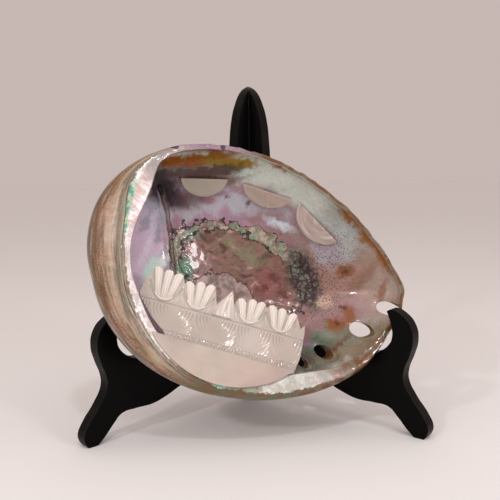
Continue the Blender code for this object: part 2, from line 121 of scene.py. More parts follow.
class Finish:
    """A material named for a finish, with a Principled shader that its patterns feed."""

    def __init__(self, name, constants):
        self.material = bpy.data.materials.new(name)
        self.material.use_nodes = True
        self.tree = self.material.node_tree
        self.shader = self.tree.nodes["Principled BSDF"]
        for socket, value in constants.items():
            self.shader.inputs[socket].default_value = value

    def node(self, kind, settings, inputs, output=0):
        """Adds a node: its settings first, then the values or links of its sockets, by name or in order."""
        made = self.tree.nodes.new(kind)
        for name, value in settings.items():
            if name == "stops":
                ramp = made.color_ramp.elements
                for index, (place, color) in enumerate(value):
                    stop = ramp[index] if index < 2 else ramp.new(place)
                    stop.position = place
                    stop.color = paint(*color)
            else:
                setattr(made, name, value)
        if not isinstance(inputs, dict):
            sockets = [socket for socket in made.inputs if socket.enabled]
            inputs = dict(zip([socket.identifier for socket in sockets], inputs))
            sockets = {socket.identifier: socket for socket in sockets}
        else:
            sockets = {socket.name: socket for socket in made.inputs if socket.enabled}
        for name, value in inputs.items():
            if isinstance(value, Shade):
                self.tree.links.new(value.socket, sockets[name])
            else:
                sockets[name].default_value = value
        outputs = [socket for socket in made.outputs if socket.enabled]
        return Shade(self, outputs[output])

    def math(self, operation, *values):
        return self.node("ShaderNodeMath", {"operation": operation}, values)

    def vector(self, operation, *values, output=0):
        return self.node("ShaderNodeVectorMath", {"operation": operation}, values, output)

    def mix(self, amount, first, second, way="MIX"):
        """Mixes two colours, each a Shade or three numbers for paint."""
        tones = [tone if isinstance(tone, Shade) else paint(*tone) for tone in (first, second)]
        return self.node("ShaderNodeMix", {"data_type": "RGBA", "blend_type": way}, (amount, *tones))

    def kept(self, name, output=2):
        """A layer kept on the mesh: its colour (0), vector (1), number (2) or alpha (3)."""
        return self.node("ShaderNodeAttribute", {"attribute_name": name}, {}, output)

    def place(self):
        """The place on the piece in millimetres, in the piece's own axes, as new_piece keeps it."""
        return self.kept("place", 1)

    def x_and_y(self, vector):
        return [self.node("ShaderNodeSeparateXYZ", {}, (vector,), output=axis) for axis in (0, 1)]

    def cloud(self, vector, size, detail=3.0, distortion=0.0):
        """Soft noise with features of a size in the vector's units, about 0.3 to 0.7."""
        inputs = {"Vector": vector, "Scale": 1 / size, "Detail": detail, "Distortion": distortion}
        return self.node("ShaderNodeTexNoise", {}, inputs)

    def stretched(self, vector, scale):
        return self.vector("MULTIPLY", vector, scale)

    def ramp(self, value, stops):
        return self.node("ShaderNodeValToRGB", {"stops": stops}, (value,))

    def feed(self, **sources):
        """Links values to the shader's sockets, named with _ for each space."""
        for name, source in sources.items():
            self.tree.links.new(source.socket, self.shader.inputs[name.replace("_", " ")])

    def bump(self, height, distance):
        """Relief from a height in 0 to 1, for a full height in millimetres."""
        return self.node("ShaderNodeBump", {}, {"Strength": 1.0, "Distance": distance * MM, "Height": height})


def in_scene(name, data):
    """Adds an object for a mesh, a curve, a lamp or a camera to the scene."""
    made = bpy.data.objects.new(name, data)
    bpy.context.scene.collection.objects.link(made)
    return made


def taken_mesh(made):
    """The mesh of an object as its modifiers leave it. The object itself is removed."""
    bpy.context.view_layer.update()
    mesh = bpy.data.meshes.new_from_object(made.evaluated_get(bpy.context.evaluated_depsgraph_get()))
    bpy.data.objects.remove(made)
    return mesh


def built_mesh(name, work):
    """The mesh of a bmesh, with its faces turned outward."""
    bmesh.ops.recalc_face_normals(work, faces=work.faces[:])
    mesh = bpy.data.meshes.new(name)
    work.to_mesh(mesh)
    work.free()
    return mesh


def smoothed(mesh, sharp_angle):
    """Smooth shading, with edges above an angle in degrees left sharp."""
    mesh.shade_smooth()
    mesh.set_sharp_from_angle(angle=math.radians(sharp_angle))
    return mesh


def new_piece(name, mesh, finish, place, slot, *nodes):
    """Puts a mesh at its place as a piece that stands for CAD nodes and rides on the one body."""
    drawn = np.array([vertex.co for vertex in mesh.vertices])
    kept = mesh.attributes.new("place", "FLOAT_VECTOR", "POINT")
    kept.data.foreach_set("vector", (drawn / MM).ravel())
    mesh.transform(place)
    piece = in_scene(name, mesh)
    mesh.materials.append(finish.material)
    bpy.context.view_layer.update()
    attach(piece, "root")
    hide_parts(*nodes)
    return piece


def board_mesh(side):
    """The outline as a filled curve, set at its angle, cut along the mitre and closed there."""
    curve = bpy.data.curves.new("board_outline", "CURVE")
    curve.dimensions = "2D"
    curve.fill_mode = "BOTH"
    curve.extrude = BOARD_THICKNESS * MM / 2
    spline = curve.splines.new("BEZIER")
    spline.bezier_points.add(len(BOARD_OUTLINE) - 1)
    spline.resolution_u = BOARD_CURVE_STEPS
    spline.use_cyclic_u = True
    for target, point in zip(spline.bezier_points, BOARD_OUTLINE):
        target.co = (point[0] * MM, point[1] * MM, 0)
        target.handle_left_type = target.handle_right_type = "VECTOR" if point in BOARD_CORNERS else "AUTO"
    mesh = taken_mesh(in_scene("board_outline", curve))
    along = Vector((math.sin(BOARD_SPREAD), -math.cos(BOARD_SPREAD), 0))
    outward = Vector((math.cos(BOARD_SPREAD), math.sin(BOARD_SPREAD), 0))
    place = Matrix((along, Vector((0, 0, 1)), -outward)).transposed().to_4x4()
    place.translation = outward * BOARD_THICKNESS * MM / 2
    mesh.transform(place)
    if side < 0:
        mesh.transform(Matrix.Scale(-1, 4, (1, 0, 0)))
        mesh.flip_normals()
    work = bmesh.new()
    work.from_mesh(mesh)
    bmesh.ops.remove_doubles(work, verts=work.verts, dist=SLIVER * MM)
    everything = work.verts[:] + work.edges[:] + work.faces[:]
    bmesh.ops.bisect_plane(work, geom=everything, dist=0.000001, plane_co=(side * BOARD_GAP * MM / 2, 0, 0),
                           plane_no=(side, 0, 0), clear_inner=True)
    open_edges = [edge for edge in work.edges if edge.is_boundary]
    bmesh.ops.holes_fill(work, edges=open_edges, sides=0)
    return smoothed(built_mesh("board", work), BOARD_SHARP_ANGLE)


def lacquer_finish(side):
    """Black lacquer with a faint grain along the board, and brown showing on the sawn edges."""
    name = "black_lacquer_" + ("right" if side > 0 else "left")
    lacquer = Finish(name, {"Specular IOR Level": 0.05, "Coat Roughness": 0.12})
    place = lacquer.place()
    normal = lacquer.node("ShaderNodeTexCoord", {}, {}, output=1)
    outward = (side * math.cos(BOARD_SPREAD), math.sin(BOARD_SPREAD), 0.0)
    facing = abs(lacquer.vector("DOT_PRODUCT", normal, outward, output=0))
    edge = 1 - facing.rises(0.55, 0.97)
    grain = lacquer.cloud(lacquer.stretched(place, (1.0, 1.0, 0.06)), 1.6, 5.0)
    dust = lacquer.cloud(place, 0.9, 6.0).rises(0.62, 0.80)
    worn = edge * lacquer.cloud(place, 14.0, 4.0).rises(0.42, 0.62)
    black = lacquer.mix(grain, (2, 2, 2), (6, 5, 5))
    edged = lacquer.mix(edge * 0.7, black, (15, 13, 12))
    browned = lacquer.mix(worn * 0.6, edged, (34, 27, 22))
    lacquer.feed(Base_Color=lacquer.mix(dust * 0.05, browned, (120, 112, 108)))
    lacquer.feed(Roughness=0.30 + grain * 0.10 + dust * 0.12 + edge * 0.05, Coat_Weight=0.035 - dust * 0.03)
    lacquer.feed(Normal=lacquer.bump(grain * 0.7 + dust * 0.3, 0.10))
    return lacquer


for side, side_name in ((1, "right"), (-1, "left")):
    board = new_piece("lacquered_board_" + side_name, board_mesh(side), lacquer_finish(side),
                      Matrix.Translation(STAND_PLACE), "black_lacquer", "stand_board_" + side_name)
    rounding = board.modifiers.new("rounded_edges", "BEVEL")
    rounding.width = BOARD_ROUNDING * MM
    rounding.segments = BOARD_ROUNDING_STEPS
    rounding.limit_method = "ANGLE"
    rounding.angle_limit = math.radians(BOARD_ROUNDED_ANGLE)

# The shell: one large abalone, ground and polished to its nacre inside and out. It is thin at the outer lip,
# rolls over into a broad ledge on the spire's side, and has a row of pores along the lower edge.
# Its own axes are X along it, Y across it and Z out of the mouth. Azimuths are degrees round Z.
SHELL_TURN = math.radians(12.0)
SHELL_LEAN = math.radians(21.0)
MOUTH_CENTRE = (-5.6, -61.3, 96.3)
OUTLINE_RADIUS = (
    (0, 92.9), (8, 88.0), (16, 83.4), (25, 79.6), (40, 75.3), (55, 73.8), (71, 74.5), (87, 77.4),
    (98, 80.4), (108, 84.1), (117, 87.0), (128, 90.6), (139, 93.3), (149, 94.0), (158, 92.6), (168, 89.8),
    (179, 85.8), (192, 82.9), (205, 79.7), (217, 76.8), (230, 73.8), (245, 71.8), (260, 71.1), (273, 72.8),
    (285, 75.4), (298, 80.0), (309, 84.6), (318, 89.0), (326, 91.4), (335, 94.6), (342, 97.9), (348, 99.7),
    (352, 99.4), (356, 96.4),
)
OUTLINE_DEPTH = ((0, 2), (90, 2), (117, 3), (129, 5), (141, 7), (160, 10), (180, 10), (200, 9),
                 (220, 8), (240, 7), (270, 6), (300, 4), (330, 3))
CREST_RADIUS = (
    (0, 91.8), (8, 87.0), (16, 82.4), (25, 78.6), (40, 74.3), (55, 72.8), (71, 73.5), (87, 76.3),
    (98, 79.1), (108, 82.4), (117, 84.8), (126, 85.8), (132, 85.4), (138, 83.5), (144, 80.2), (150, 76.6),
    (158, 73.3), (166, 71.4), (175, 69.8), (185, 69.1), (193, 68.4), (202, 66.6), (210, 65.9), (225, 66.8),
    (240, 67.8), (255, 68.8), (269, 70.1), (280, 71.9), (290, 74.2), (298, 77.0), (305, 80.2), (312, 84.4),
    (319, 88.0), (326, 90.2), (335, 93.4), (342, 96.8), (348, 98.6), (352, 98.3), (356, 95.3),
)
CREST_HEIGHT = ((0, 0), (60, 0), (110, 1), (135, 3), (160, 4), (188, 3.0), (203, 0.2), (213, -0.5),
                (235, -0.7), (262, -0.7), (290, -0.2), (320, 0.5))
LIP_RADIUS = (
    (0, 89.9), (8, 85.1), (16, 80.5), (25, 76.7), (40, 72.4), (55, 70.9), (71, 71.5), (87, 74.2),
    (98, 76.8), (108, 79.7), (117, 81.4), (123, 80.8), (128, 77.2), (134, 72.8), (141, 70.0), (148, 68.8),
    (158, 67.6), (168, 66.2), (179, 64.4), (187, 62.6), (196, 61.5), (210, 61.0), (225, 60.8), (240, 60.6),
    (255, 60.6), (268, 60.9), (278, 61.7), (285, 62.9), (294, 65.8), (301, 69.5), (307, 73.8), (313, 78.0),
    (319, 81.9), (326, 86.0), (335, 91.0), (342, 94.6), (348, 96.4), (352, 96.1), (356, 93.2),
)
LIP_HEIGHT = ((0, -0.6), (60, -0.6), (110, 0.2), (130, 1.6), (160, 1.6), (188, 1.0), (202, -1.2),
              (212, -2.7), (230, -3.0), (260, -3.0), (280, -2.2), (290, -0.8), (310, -0.4), (335, -0.4))
UNDERCUT = ((0, 0.1), (100, 0.4), (115, 2.0), (128, 6.0), (145, 10), (180, 11), (210, 9), (240, 6.5),
            (270, 6), (290, 5), (305, 3), (318, 1.0), (335, 0.2))
WALL_DEPTH = ((0, 2.4), (90, 3), (115, 6), (135, 10), (160, 12), (180, 12), (210, 11), (240, 10),
              (270, 9), (300, 6), (318, 3.6), (335, 2.6))
INNER_FULLNESS = ((0, 0.82), (60, 0.80), (110, 0.74), (140, 0.72), (180, 0.95), (205, 0.95), (235, 0.74),
                  (260, 0.70), (290, 0.86), (315, 0.96), (335, 0.90))
OUTER_FULLNESS = ((0, 0.79), (60, 0.78), (110, 0.70), (150, 0.78), (180, 0.96), (205, 0.96), (235, 0.76),
                  (260, 0.64), (290, 0.78), (315, 0.88), (335, 0.85))
INNER_DEPTH = 46.0
OUTER_DEPTH = 50.5
ROUNDNESS = 2.2
LIP_THICKNESS = 1.4
PEARL_SHARP_ANGLE = 50
FLANK_FLATNESS = 3.4

SPIRE_CENTRE = (-60, 42)
SPIRE_RADIUS = 17
SPIRE_HEIGHT = 5.0
SPIRE_COIL = 0.75
SPIRE_GROOVE = 0.9
HEALED_PORES = ((-69, 24), (-70, 8), (-66, -8), (-58, -23), (-47, -35), (-33, -44), (-17, -50), (0, -53),
                (17, -54))
HEALED_PORE_RADIUS = 6.5
HEALED_PORE_HEIGHT = 2.4
HEALED_PORE_PIT = 1.2
FOLD_SPACING = 2.6
FOLD_HEIGHT = 0.22
# Open pores and chips in the rim as (centre, width, length, turn of the long axis)
OPEN_PORES = (((35.2, -52.1), 7.0, 7.0, 0), ((48.2, -47.2), 7.6, 8.2, 30), ((72.2, -35.9), 8.2, 10.2, 30),
              ((89.1, -25.2), 8.0, 8.6, 60))
PORE_AXIS = Vector((0.22, -0.24, 1.0))
PORE_DRILL_DEPTH = 24.0
RIM_CHIPS = (((-35.0, 77.0), 3.4, 5.2, 0), ((-6.0, 77.6), 4.0, 3.4, 0))
CHIP_AXIS = Vector((0, 0.5, 1))
CHIP_DEPTH = 9.0
DRILL_SIDES = 48
# The muscle scar's ovals as (centre, radii, turn): the whole, the rose middle and the grey core
SCAR = ((7, 11.5), (46.9, 27.1), -24)
SCAR_MIDDLE = ((7.2, 5.1), (42.2, 25.9), -35.5)
SCAR_CORE = ((-6, -8), (20.5, 17.5), -24)
SCAR_ROUGHNESS = 0.35
SCAR_STEP = 0.3
# The crease that runs down the wall from the hollow under the spire, and how it is cut
CREASE = ((-43.0, 60.0), (-41.2, 56.4), (-38.1, 47.2), (-35.9, 33.7), (-35.5, 17.2), (-36.5, 2.0))
CREASE_DEPTH = 1.1
CREASE_LIP = 0.9

AZIMUTHS = 480
BACK_RINGS = 46
FLANK_RINGS = 16
LEDGE_RINGS = 9
LIP_RINGS = 6
UNDER_RINGS = 10
BOWL_RINGS = 80
CORNER_ROUNDS = 6


def around(keys, azimuth):
    """Values at azimuths on a smooth curve through keys that go once round the shell."""
    angles, values = np.array(keys, float).T
    angles = np.concatenate((angles[-2:] - 360, angles, angles[:2] + 360))
    values = np.concatenate((values[-2:], values, values[:2]))
    slopes = (values[2:] - values[:-2]) / (angles[2:] - angles[:-2])
    azimuth = np.mod(azimuth, 360)
    last = np.searchsorted(angles, azimuth, side="right") - 1
    span = angles[last + 1] - angles[last]
    t = (azimuth - angles[last]) / span
    rise = 3 * t**2 - 2 * t**3
    bend = slopes[last - 1] * (t**3 - 2 * t**2 + t) + slopes[last] * (t**3 - t**2)
    return values[last] * (1 - rise) + values[last + 1] * rise + span * bend


def bowl_height(radius, edge_radius, edge_depth, depth, fullness):
    """Height of a bowl that leaves its edge steeply and flattens to its full depth in the middle."""
    inward = np.maximum(0.0, 1 - (radius / edge_radius) ** ROUNDNESS)
    return -edge_depth - (depth - edge_depth) * inward**fullness


def inner_height(x, y):
    """Height of the inside of the bowl below places in the mouth."""
    azimuth = np.degrees(np.arctan2(y, x))
    wall = around(LIP_RADIUS, azimuth) + around(UNDERCUT, azimuth)
    fullness = around(INNER_FULLNESS, azimuth)
    return bowl_height(np.hypot(x, y), wall, around(WALL_DEPTH, azimuth), INNER_DEPTH, fullness)


def lumps(points, size, seed):
    """Smooth noise from -1 to 1 at many points, with lumps of a size."""
    return np.array([noise.noise((p[0] / size + seed, p[1] / size, p[2] / size)) for p in points])


def shell_grid():
    """Radius, height and way across the section (0 outline, 1 crest, 2 lip, then inward) of every ring."""
    azimuth = np.arange(AZIMUTHS) * 360 / AZIMUTHS
    ragged = 0.35 * np.sin(np.radians(azimuth * 23)) * np.sin(np.radians(azimuth * 7 + 40))
    ragged += 0.25 * np.sin(np.radians(azimuth * 51 + 20)) * np.sin(np.radians(azimuth * 5))
    thin = np.clip((around(LIP_RADIUS, azimuth) - around(CREST_RADIUS, azimuth) + 5) / 3, 0, 1)
    outline = around(OUTLINE_RADIUS, azimuth) + ragged * thin
    crest = around(CREST_RADIUS, azimuth) + ragged * thin
    lip = around(LIP_RADIUS, azimuth) + ragged * thin * 0.7
    outline_depth = around(OUTLINE_DEPTH, azimuth)
    crest_height = around(CREST_HEIGHT, azimuth)
    lip_height = around(LIP_HEIGHT, azimuth)
    wall = lip + around(UNDERCUT, azimuth)
    wall_depth = around(WALL_DEPTH, azimuth)
    rings = []
    for ring in range(1, BACK_RINGS + 1):
        radius = outline * math.sin(math.radians(90 * ring / BACK_RINGS))
        height = bowl_height(radius, outline, outline_depth, OUTER_DEPTH, around(OUTER_FULLNESS, azimuth))
        rings.append((radius, height, (radius - outline) / 100))
    for ring in range(1, FLANK_RINGS + 1):
        turn = math.radians(90 * ring / FLANK_RINGS)
        radius = crest + (outline - crest) * math.cos(turn) ** FLANK_FLATNESS
        height = -outline_depth + (crest_height + outline_depth) * math.sin(turn)
        rings.append((radius, height, np.full(AZIMUTHS, ring / FLANK_RINGS)))
    for ring in range(1, LEDGE_RINGS + 1):
        t = ring / LEDGE_RINGS
        swell = 0.06 * (crest - lip) * math.sin(math.pi * t)
        rings.append((crest + (lip - crest) * t, crest_height + (lip_height - crest_height) * t + swell,
                      np.full(AZIMUTHS, 1 + t)))
    for ring in range(1, LIP_RINGS + 1):
        turn = math.pi * ring / LIP_RINGS
        rings.append((lip - 0.4 * math.sin(turn), lip_height - LIP_THICKNESS / 2 * (1 - math.cos(turn)),
                      np.full(AZIMUTHS, 2.0)))
    under = lip_height - LIP_THICKNESS
    for ring in range(1, UNDER_RINGS + 1):
        turn = math.radians(90 * ring / UNDER_RINGS)
        height = under - (wall_depth + under) * (1 - math.cos(turn))
        rings.append((lip + (wall - lip) * math.sin(turn), height, 2 + (lip_height - height) / 100))
    inset = rings[-1][2]
    for ring in range(1, BOWL_RINGS):
        t = 1 - ring / BOWL_RINGS
        radius = wall * (0.55 * math.sin(math.radians(90 * t)) + 0.45 * t)
        height = bowl_height(radius, wall, wall_depth, INNER_DEPTH, around(INNER_FULLNESS, azimuth))
        inset = inset + np.hypot(radius - rings[-1][0], height - rings[-1][1]) / 100
        rings.append((radius, height, inset))
    return np.radians(azimuth), rings


def from_line(x, y, line):
    """Distance of places from a chain of straight lines."""
    nearest = np.full(len(x), 1e9)
    for (ax, ay), (bx, by) in zip(line, line[1:]):
        t = np.clip(((x - ax) * (bx - ax) + (y - ay) * (by - ay)) / ((bx - ax) ** 2 + (by - ay) ** 2), 0, 1)
        nearest = np.minimum(nearest, np.hypot(x - ax - t * (bx - ax), y - ay - t * (by - ay)))
    return nearest


def from_oval(x, y, centre, radii, turn):
    """Distance of places from an oval's centre, 1 on its edge."""
    c, s = math.cos(math.radians(turn)), math.sin(math.radians(turn))
    along = ((x - centre[0]) * c + (y - centre[1]) * s) / radii[0]
    up = ((y - centre[1]) * c - (x - centre[0]) * s) / radii[1]
    return np.hypot(along, up)


def from_pore(points, centre, width, length, turn, axis, back_off):
    """How far points are outside an oval pore, in millimetres, measured square to its axis."""
    origin = np.array((*centre, float(inner_height(*centre)) - back_off))
    tilt = Vector((0, 0, 1)).rotation_difference(axis).to_matrix()
    local = (points - origin) @ np.array(tilt @ Matrix.Rotation(math.radians(turn), 3, "Z"))
    return (np.hypot(local[:, 0] / (length / 2), local[:, 1] / (width / 2)) - 1) * (width + length) / 4


def back_relief(points, across):
    """How far the back stands out: growth folds, the spire's coil and the healed pores."""
    x, y = points[:, 0], points[:, 1]
    from_spire = np.hypot(x - SPIRE_CENTRE[0], y - SPIRE_CENTRE[1])
    relief = SPIRE_HEIGHT * np.exp(-2.2 * (from_spire / SPIRE_RADIUS) ** 2)
    round_spire = np.arctan2(y - SPIRE_CENTRE[1], x - SPIRE_CENTRE[0])
    coil = np.log(np.maximum(from_spire, 1.0) / 2) / SPIRE_COIL - round_spire
    groove = np.exp(-(((coil / math.tau) % 1 - 0.5) / 0.13) ** 2)
    relief -= SPIRE_GROOVE * groove * np.exp(-((from_spire / 15) ** 4))
    for pore in HEALED_PORES:
        away = np.hypot(x - pore[0], y - pore[1]) / HEALED_PORE_RADIUS
        relief += HEALED_PORE_HEIGHT * np.exp(-2.5 * away**2) - HEALED_PORE_PIT * np.exp(-14 * away**2)
    folds = np.sin(from_spire / FOLD_SPACING + 2.2 * lumps(points, 22, 3))
    relief += FOLD_HEIGHT * folds * np.clip(-across * 8, 0, 1)
    return relief + 0.4 * lumps(points, 9, 8) * np.clip(-across * 6, 0, 1)


def bowl_relief(points, across):
    """How far the inside stands out: the crease, the muscle scar's roughness and slow waves in the nacre."""
    x, y = points[:, 0], points[:, 1]
    crease = from_line(x, y, CREASE)
    left_of_crease = np.clip((-36 - x) / 4, 0, 1)
    relief = CREASE_LIP * np.exp(-((crease - 2.6) / 2.0) ** 2) * (0.4 + left_of_crease)
    relief -= CREASE_DEPTH * np.exp(-((crease / 1.1) ** 2))
    scar = from_oval(x, y, *SCAR)
    band = np.clip((1.04 - scar) * 12, 0, 1) * np.clip((scar - 0.70) * 10, 0, 1)
    relief += band * (SCAR_ROUGHNESS * lumps(points, 2.6, 1) + 0.25 * lumps(points, 1.3, 5))
    relief += SCAR_STEP * np.clip((1.02 - scar) * 20, 0, 1)
    relief += 0.5 * lumps(points, 17, 2) + 0.10 * lumps(points, 4, 4)
    inset = (across - 2) * 100
    return relief * np.clip((inset - 1.5) / 5, 0, 1)


def shell_mesh():
    """The loft with its relief, then the pores and chips cut, and the way across kept as an attribute."""
    azimuth, rings = shell_grid()
    radius, height, across = (np.array([ring[part] for ring in rings]) for part in range(3))
    crest_ring = BACK_RINGS + FLANK_RINGS - 1
    for _ in range(CORNER_ROUNDS):
        for part in (radius, height):
            corner = part[crest_ring - 5:crest_ring + 4]
            corner[1:-1] = (corner[:-2] + 2 * corner[1:-1] + corner[2:]) / 4
    points = np.stack((radius * np.cos(azimuth), radius * np.sin(azimuth), height), axis=-1)
    ahead = np.roll(points, -1, axis=1) - np.roll(points, 1, axis=1)
    inward = np.gradient(points, axis=0)
    normals = np.cross(ahead, inward)
    normals /= np.maximum(np.linalg.norm(normals, axis=2, keepdims=True), 1e-9)
    flat, normal, way = points.reshape(-1, 3), normals.reshape(-1, 3), across.reshape(-1)
    back = np.repeat(np.arange(len(rings)), AZIMUTHS) < BACK_RINGS
    bowl = way > 2.0
    moved = np.zeros(len(flat))
    moved[back] = back_relief(flat[back], way[back]) * np.clip(-way[back] * 100 / 9, 0.0, 1)
    moved[bowl] = bowl_relief(flat[bowl], way[bowl])
    edge = ~back & ~bowl
    away_from_corners = np.abs(np.sin(math.pi * way[edge]))
    moved[edge] = away_from_corners * (0.22 * lumps(flat[edge], 3.5, 9) + 0.12 * lumps(flat[edge], 1.4, 12))
    for pore in OPEN_PORES:
        outside = from_pore(flat, *pore, PORE_AXIS, 2)
        near = np.clip(1 - np.maximum(outside, 0) / 2.4, 0, 1) ** 2
        inner = np.clip((way - 2) * 100 / 3, 0, 1)
        moved -= near * np.where(bowl, 1.2 * inner, np.where(back, 0.6, 0.0))
    flat = flat + normal * moved[:, None]
    work = bmesh.new()
    verts = [work.verts.new(point * MM) for point in flat]
    back_pole = work.verts.new((0, 0, -OUTER_DEPTH * MM))
    bowl_pole = work.verts.new((0, 0, (-INNER_DEPTH + 0.3) * MM))
    last = (len(rings) - 1) * AZIMUTHS
    for step in range(AZIMUTHS):
        beside = (step + 1) % AZIMUTHS
        work.faces.new((back_pole, verts[beside], verts[step]))
        work.faces.new((verts[last + step], verts[last + beside], bowl_pole))
        for ring in range(0, last, AZIMUTHS):
            work.faces.new((verts[ring + step], verts[ring + beside], verts[ring + AZIMUTHS + beside],
                            verts[ring + AZIMUTHS + step]))
    mesh = cut_pores(built_mesh("nacre_shell", work))
    tree = kdtree.KDTree(len(flat))
    for index, point in enumerate(flat):
        tree.insert(point * MM, index)
    tree.balance()
    kept = mesh.attributes.new("across", "FLOAT", "POINT")
    for index, vertex in enumerate(mesh.vertices):
        kept.data[index].value = way[tree.find(vertex.co)[1]]
    spots = np.array([vertex.co / MM for vertex in mesh.vertices])
    for name, ovals, size, reach in (("wash", WASHES, 9.0, 7.0), ("stain_and_painted_light", STAINS_AND_PAINTED_LIGHT, 3.0, 1.8)):
        layer = mesh.attributes.new(name, "FLOAT_COLOR", "POINT")
        layer.data.foreach_set("color", layered(spots, ovals, size, reach).ravel())
    return smoothed(mesh, PEARL_SHARP_ANGLE)


def cut_pores(mesh):
    """Cuts oval drills out of the loft with one Boolean, and clears the flat flaps that it leaves."""
    drills = bmesh.new()
    holes = [(*pore, PORE_AXIS, PORE_DRILL_DEPTH, inner_height(*pore[0]) - 2) for pore in OPEN_PORES]
    holes += [(*chip, CHIP_AXIS, CHIP_DEPTH, 0) for chip in RIM_CHIPS]
    for centre, width, length, turn, axis, depth, height in holes:
        tilt = Vector((0, 0, 1)).rotation_difference(axis).to_matrix().to_4x4()
        place = Matrix.Translation(Vector((*centre, height)) * MM) @ tilt
        place = place @ Matrix.Rotation(math.radians(turn), 4, "Z")
        size = Matrix.Diagonal((length * MM, width * MM, depth * MM, 1))
        made = bmesh.ops.create_cone(drills, cap_ends=True, segments=DRILL_SIDES, radius1=0.5,
                                      radius2=0.5, depth=1)
        for vertex in made["verts"]:
            wobble = 1 + 0.05 * noise.noise(Vector((vertex.co.x * 3 + centre[0], vertex.co.y * 3, 0)))
            vertex.co = place @ size @ Vector((vertex.co.x * wobble, vertex.co.y * wobble, vertex.co.z))
    drill = in_scene("pore_drills", built_mesh("pore_drills", drills))
    blank = in_scene("shell_blank", mesh)
    cut = blank.modifiers.new("pores", "BOOLEAN")
    cut.object = drill
    cut.operation = "DIFFERENCE"
    cut.solver = "EXACT"
    result = taken_mesh(blank)
    bpy.data.objects.remove(drill)
    cleaned = bmesh.new()
    cleaned.from_mesh(result)
    bmesh.ops.remove_doubles(cleaned, verts=cleaned.verts, dist=SLIVER * MM)
    bmesh.ops.dissolve_degenerate(cleaned, edges=cleaned.edges, dist=SLIVER * MM)
    bmesh.ops.triangulate(cleaned, faces=cleaned.faces[:])
    corners = {}
    for face in cleaned.faces:
        corners.setdefault(frozenset(face.verts), []).append(face)
    doubled = [face for faces in corners.values() if len(faces) > 1 for face in faces]
    bmesh.ops.delete(cleaned, geom=doubled, context="FACES")
    cleaned.to_mesh(result)
    cleaned.free()
    return result


# Ovals of colour on the wall as (centre, radii, turn, softness, colour, strength), each laid over those
# before it: broad washes of nacre, then small stains, painted highlights, and painted shade along the left
# half-moon's straight edge and in the hollow under the spire. A fixed seed gives their ragged edges the
# same course in every run.
EDGE_SEED = 5
WASHES = (
    ((-52, 2), (18, 52), 0, 0.35, (222, 202, 226), 0.95),
    ((-46, 44), (9, 12), 0, 0.45, (140, 146, 160), 0.8),
    ((-42, 0), (6, 24), -12, 0.45, (146, 150, 148), 0.8),
    ((-8, 49), (38, 5), 2, 0.6, (184, 186, 196), 0.85), ((-14, 42), (22, 3.4), 0, 0.8, (176, 136, 160), 0.7),
    ((12, 36), (22, 5), -22, 0.6, (170, 136, 156), 0.75),
    ((40, 30), (26, 7), -38, 0.6, (146, 114, 104), 0.75),
    ((60, 2), (22, 26), -30, 0.5, (168, 132, 114), 0.85),
    ((60, -24), (20, 12), 0, 0.6, (176, 142, 142), 0.75),
    ((86, -14), (12, 20), 0, 0.5, (180, 154, 140), 0.8), ((80, 4), (8, 16), 20, 0.7, (150, 118, 92), 0.6),
    ((68, 24), (16, 7), -52, 0.6, (178, 188, 186), 0.8),
    ((62, 14), (10, 6), -40, 0.7, (168, 170, 182), 0.7),
    ((34, 60), (36, 9), -26, 0.5, (212, 220, 210), 0.8),
    ((52, -42), (24, 7), 18, 0.5, (120, 122, 98), 0.85), ((26, -53), (26, 9), 0, 0.5, (104, 108, 90), 0.8),
    ((66, -47), (22, 5), 24, 0.6, (132, 108, 78), 0.8), ((46, -44), (9, 7), 0, 0.6, (76, 100, 80), 0.7),
    ((80, -38), (10, 4), 30, 0.6, (150, 132, 104), 0.7), ((50, -36), (8, 4), 20, 0.7, (132, 168, 142), 0.5),
)
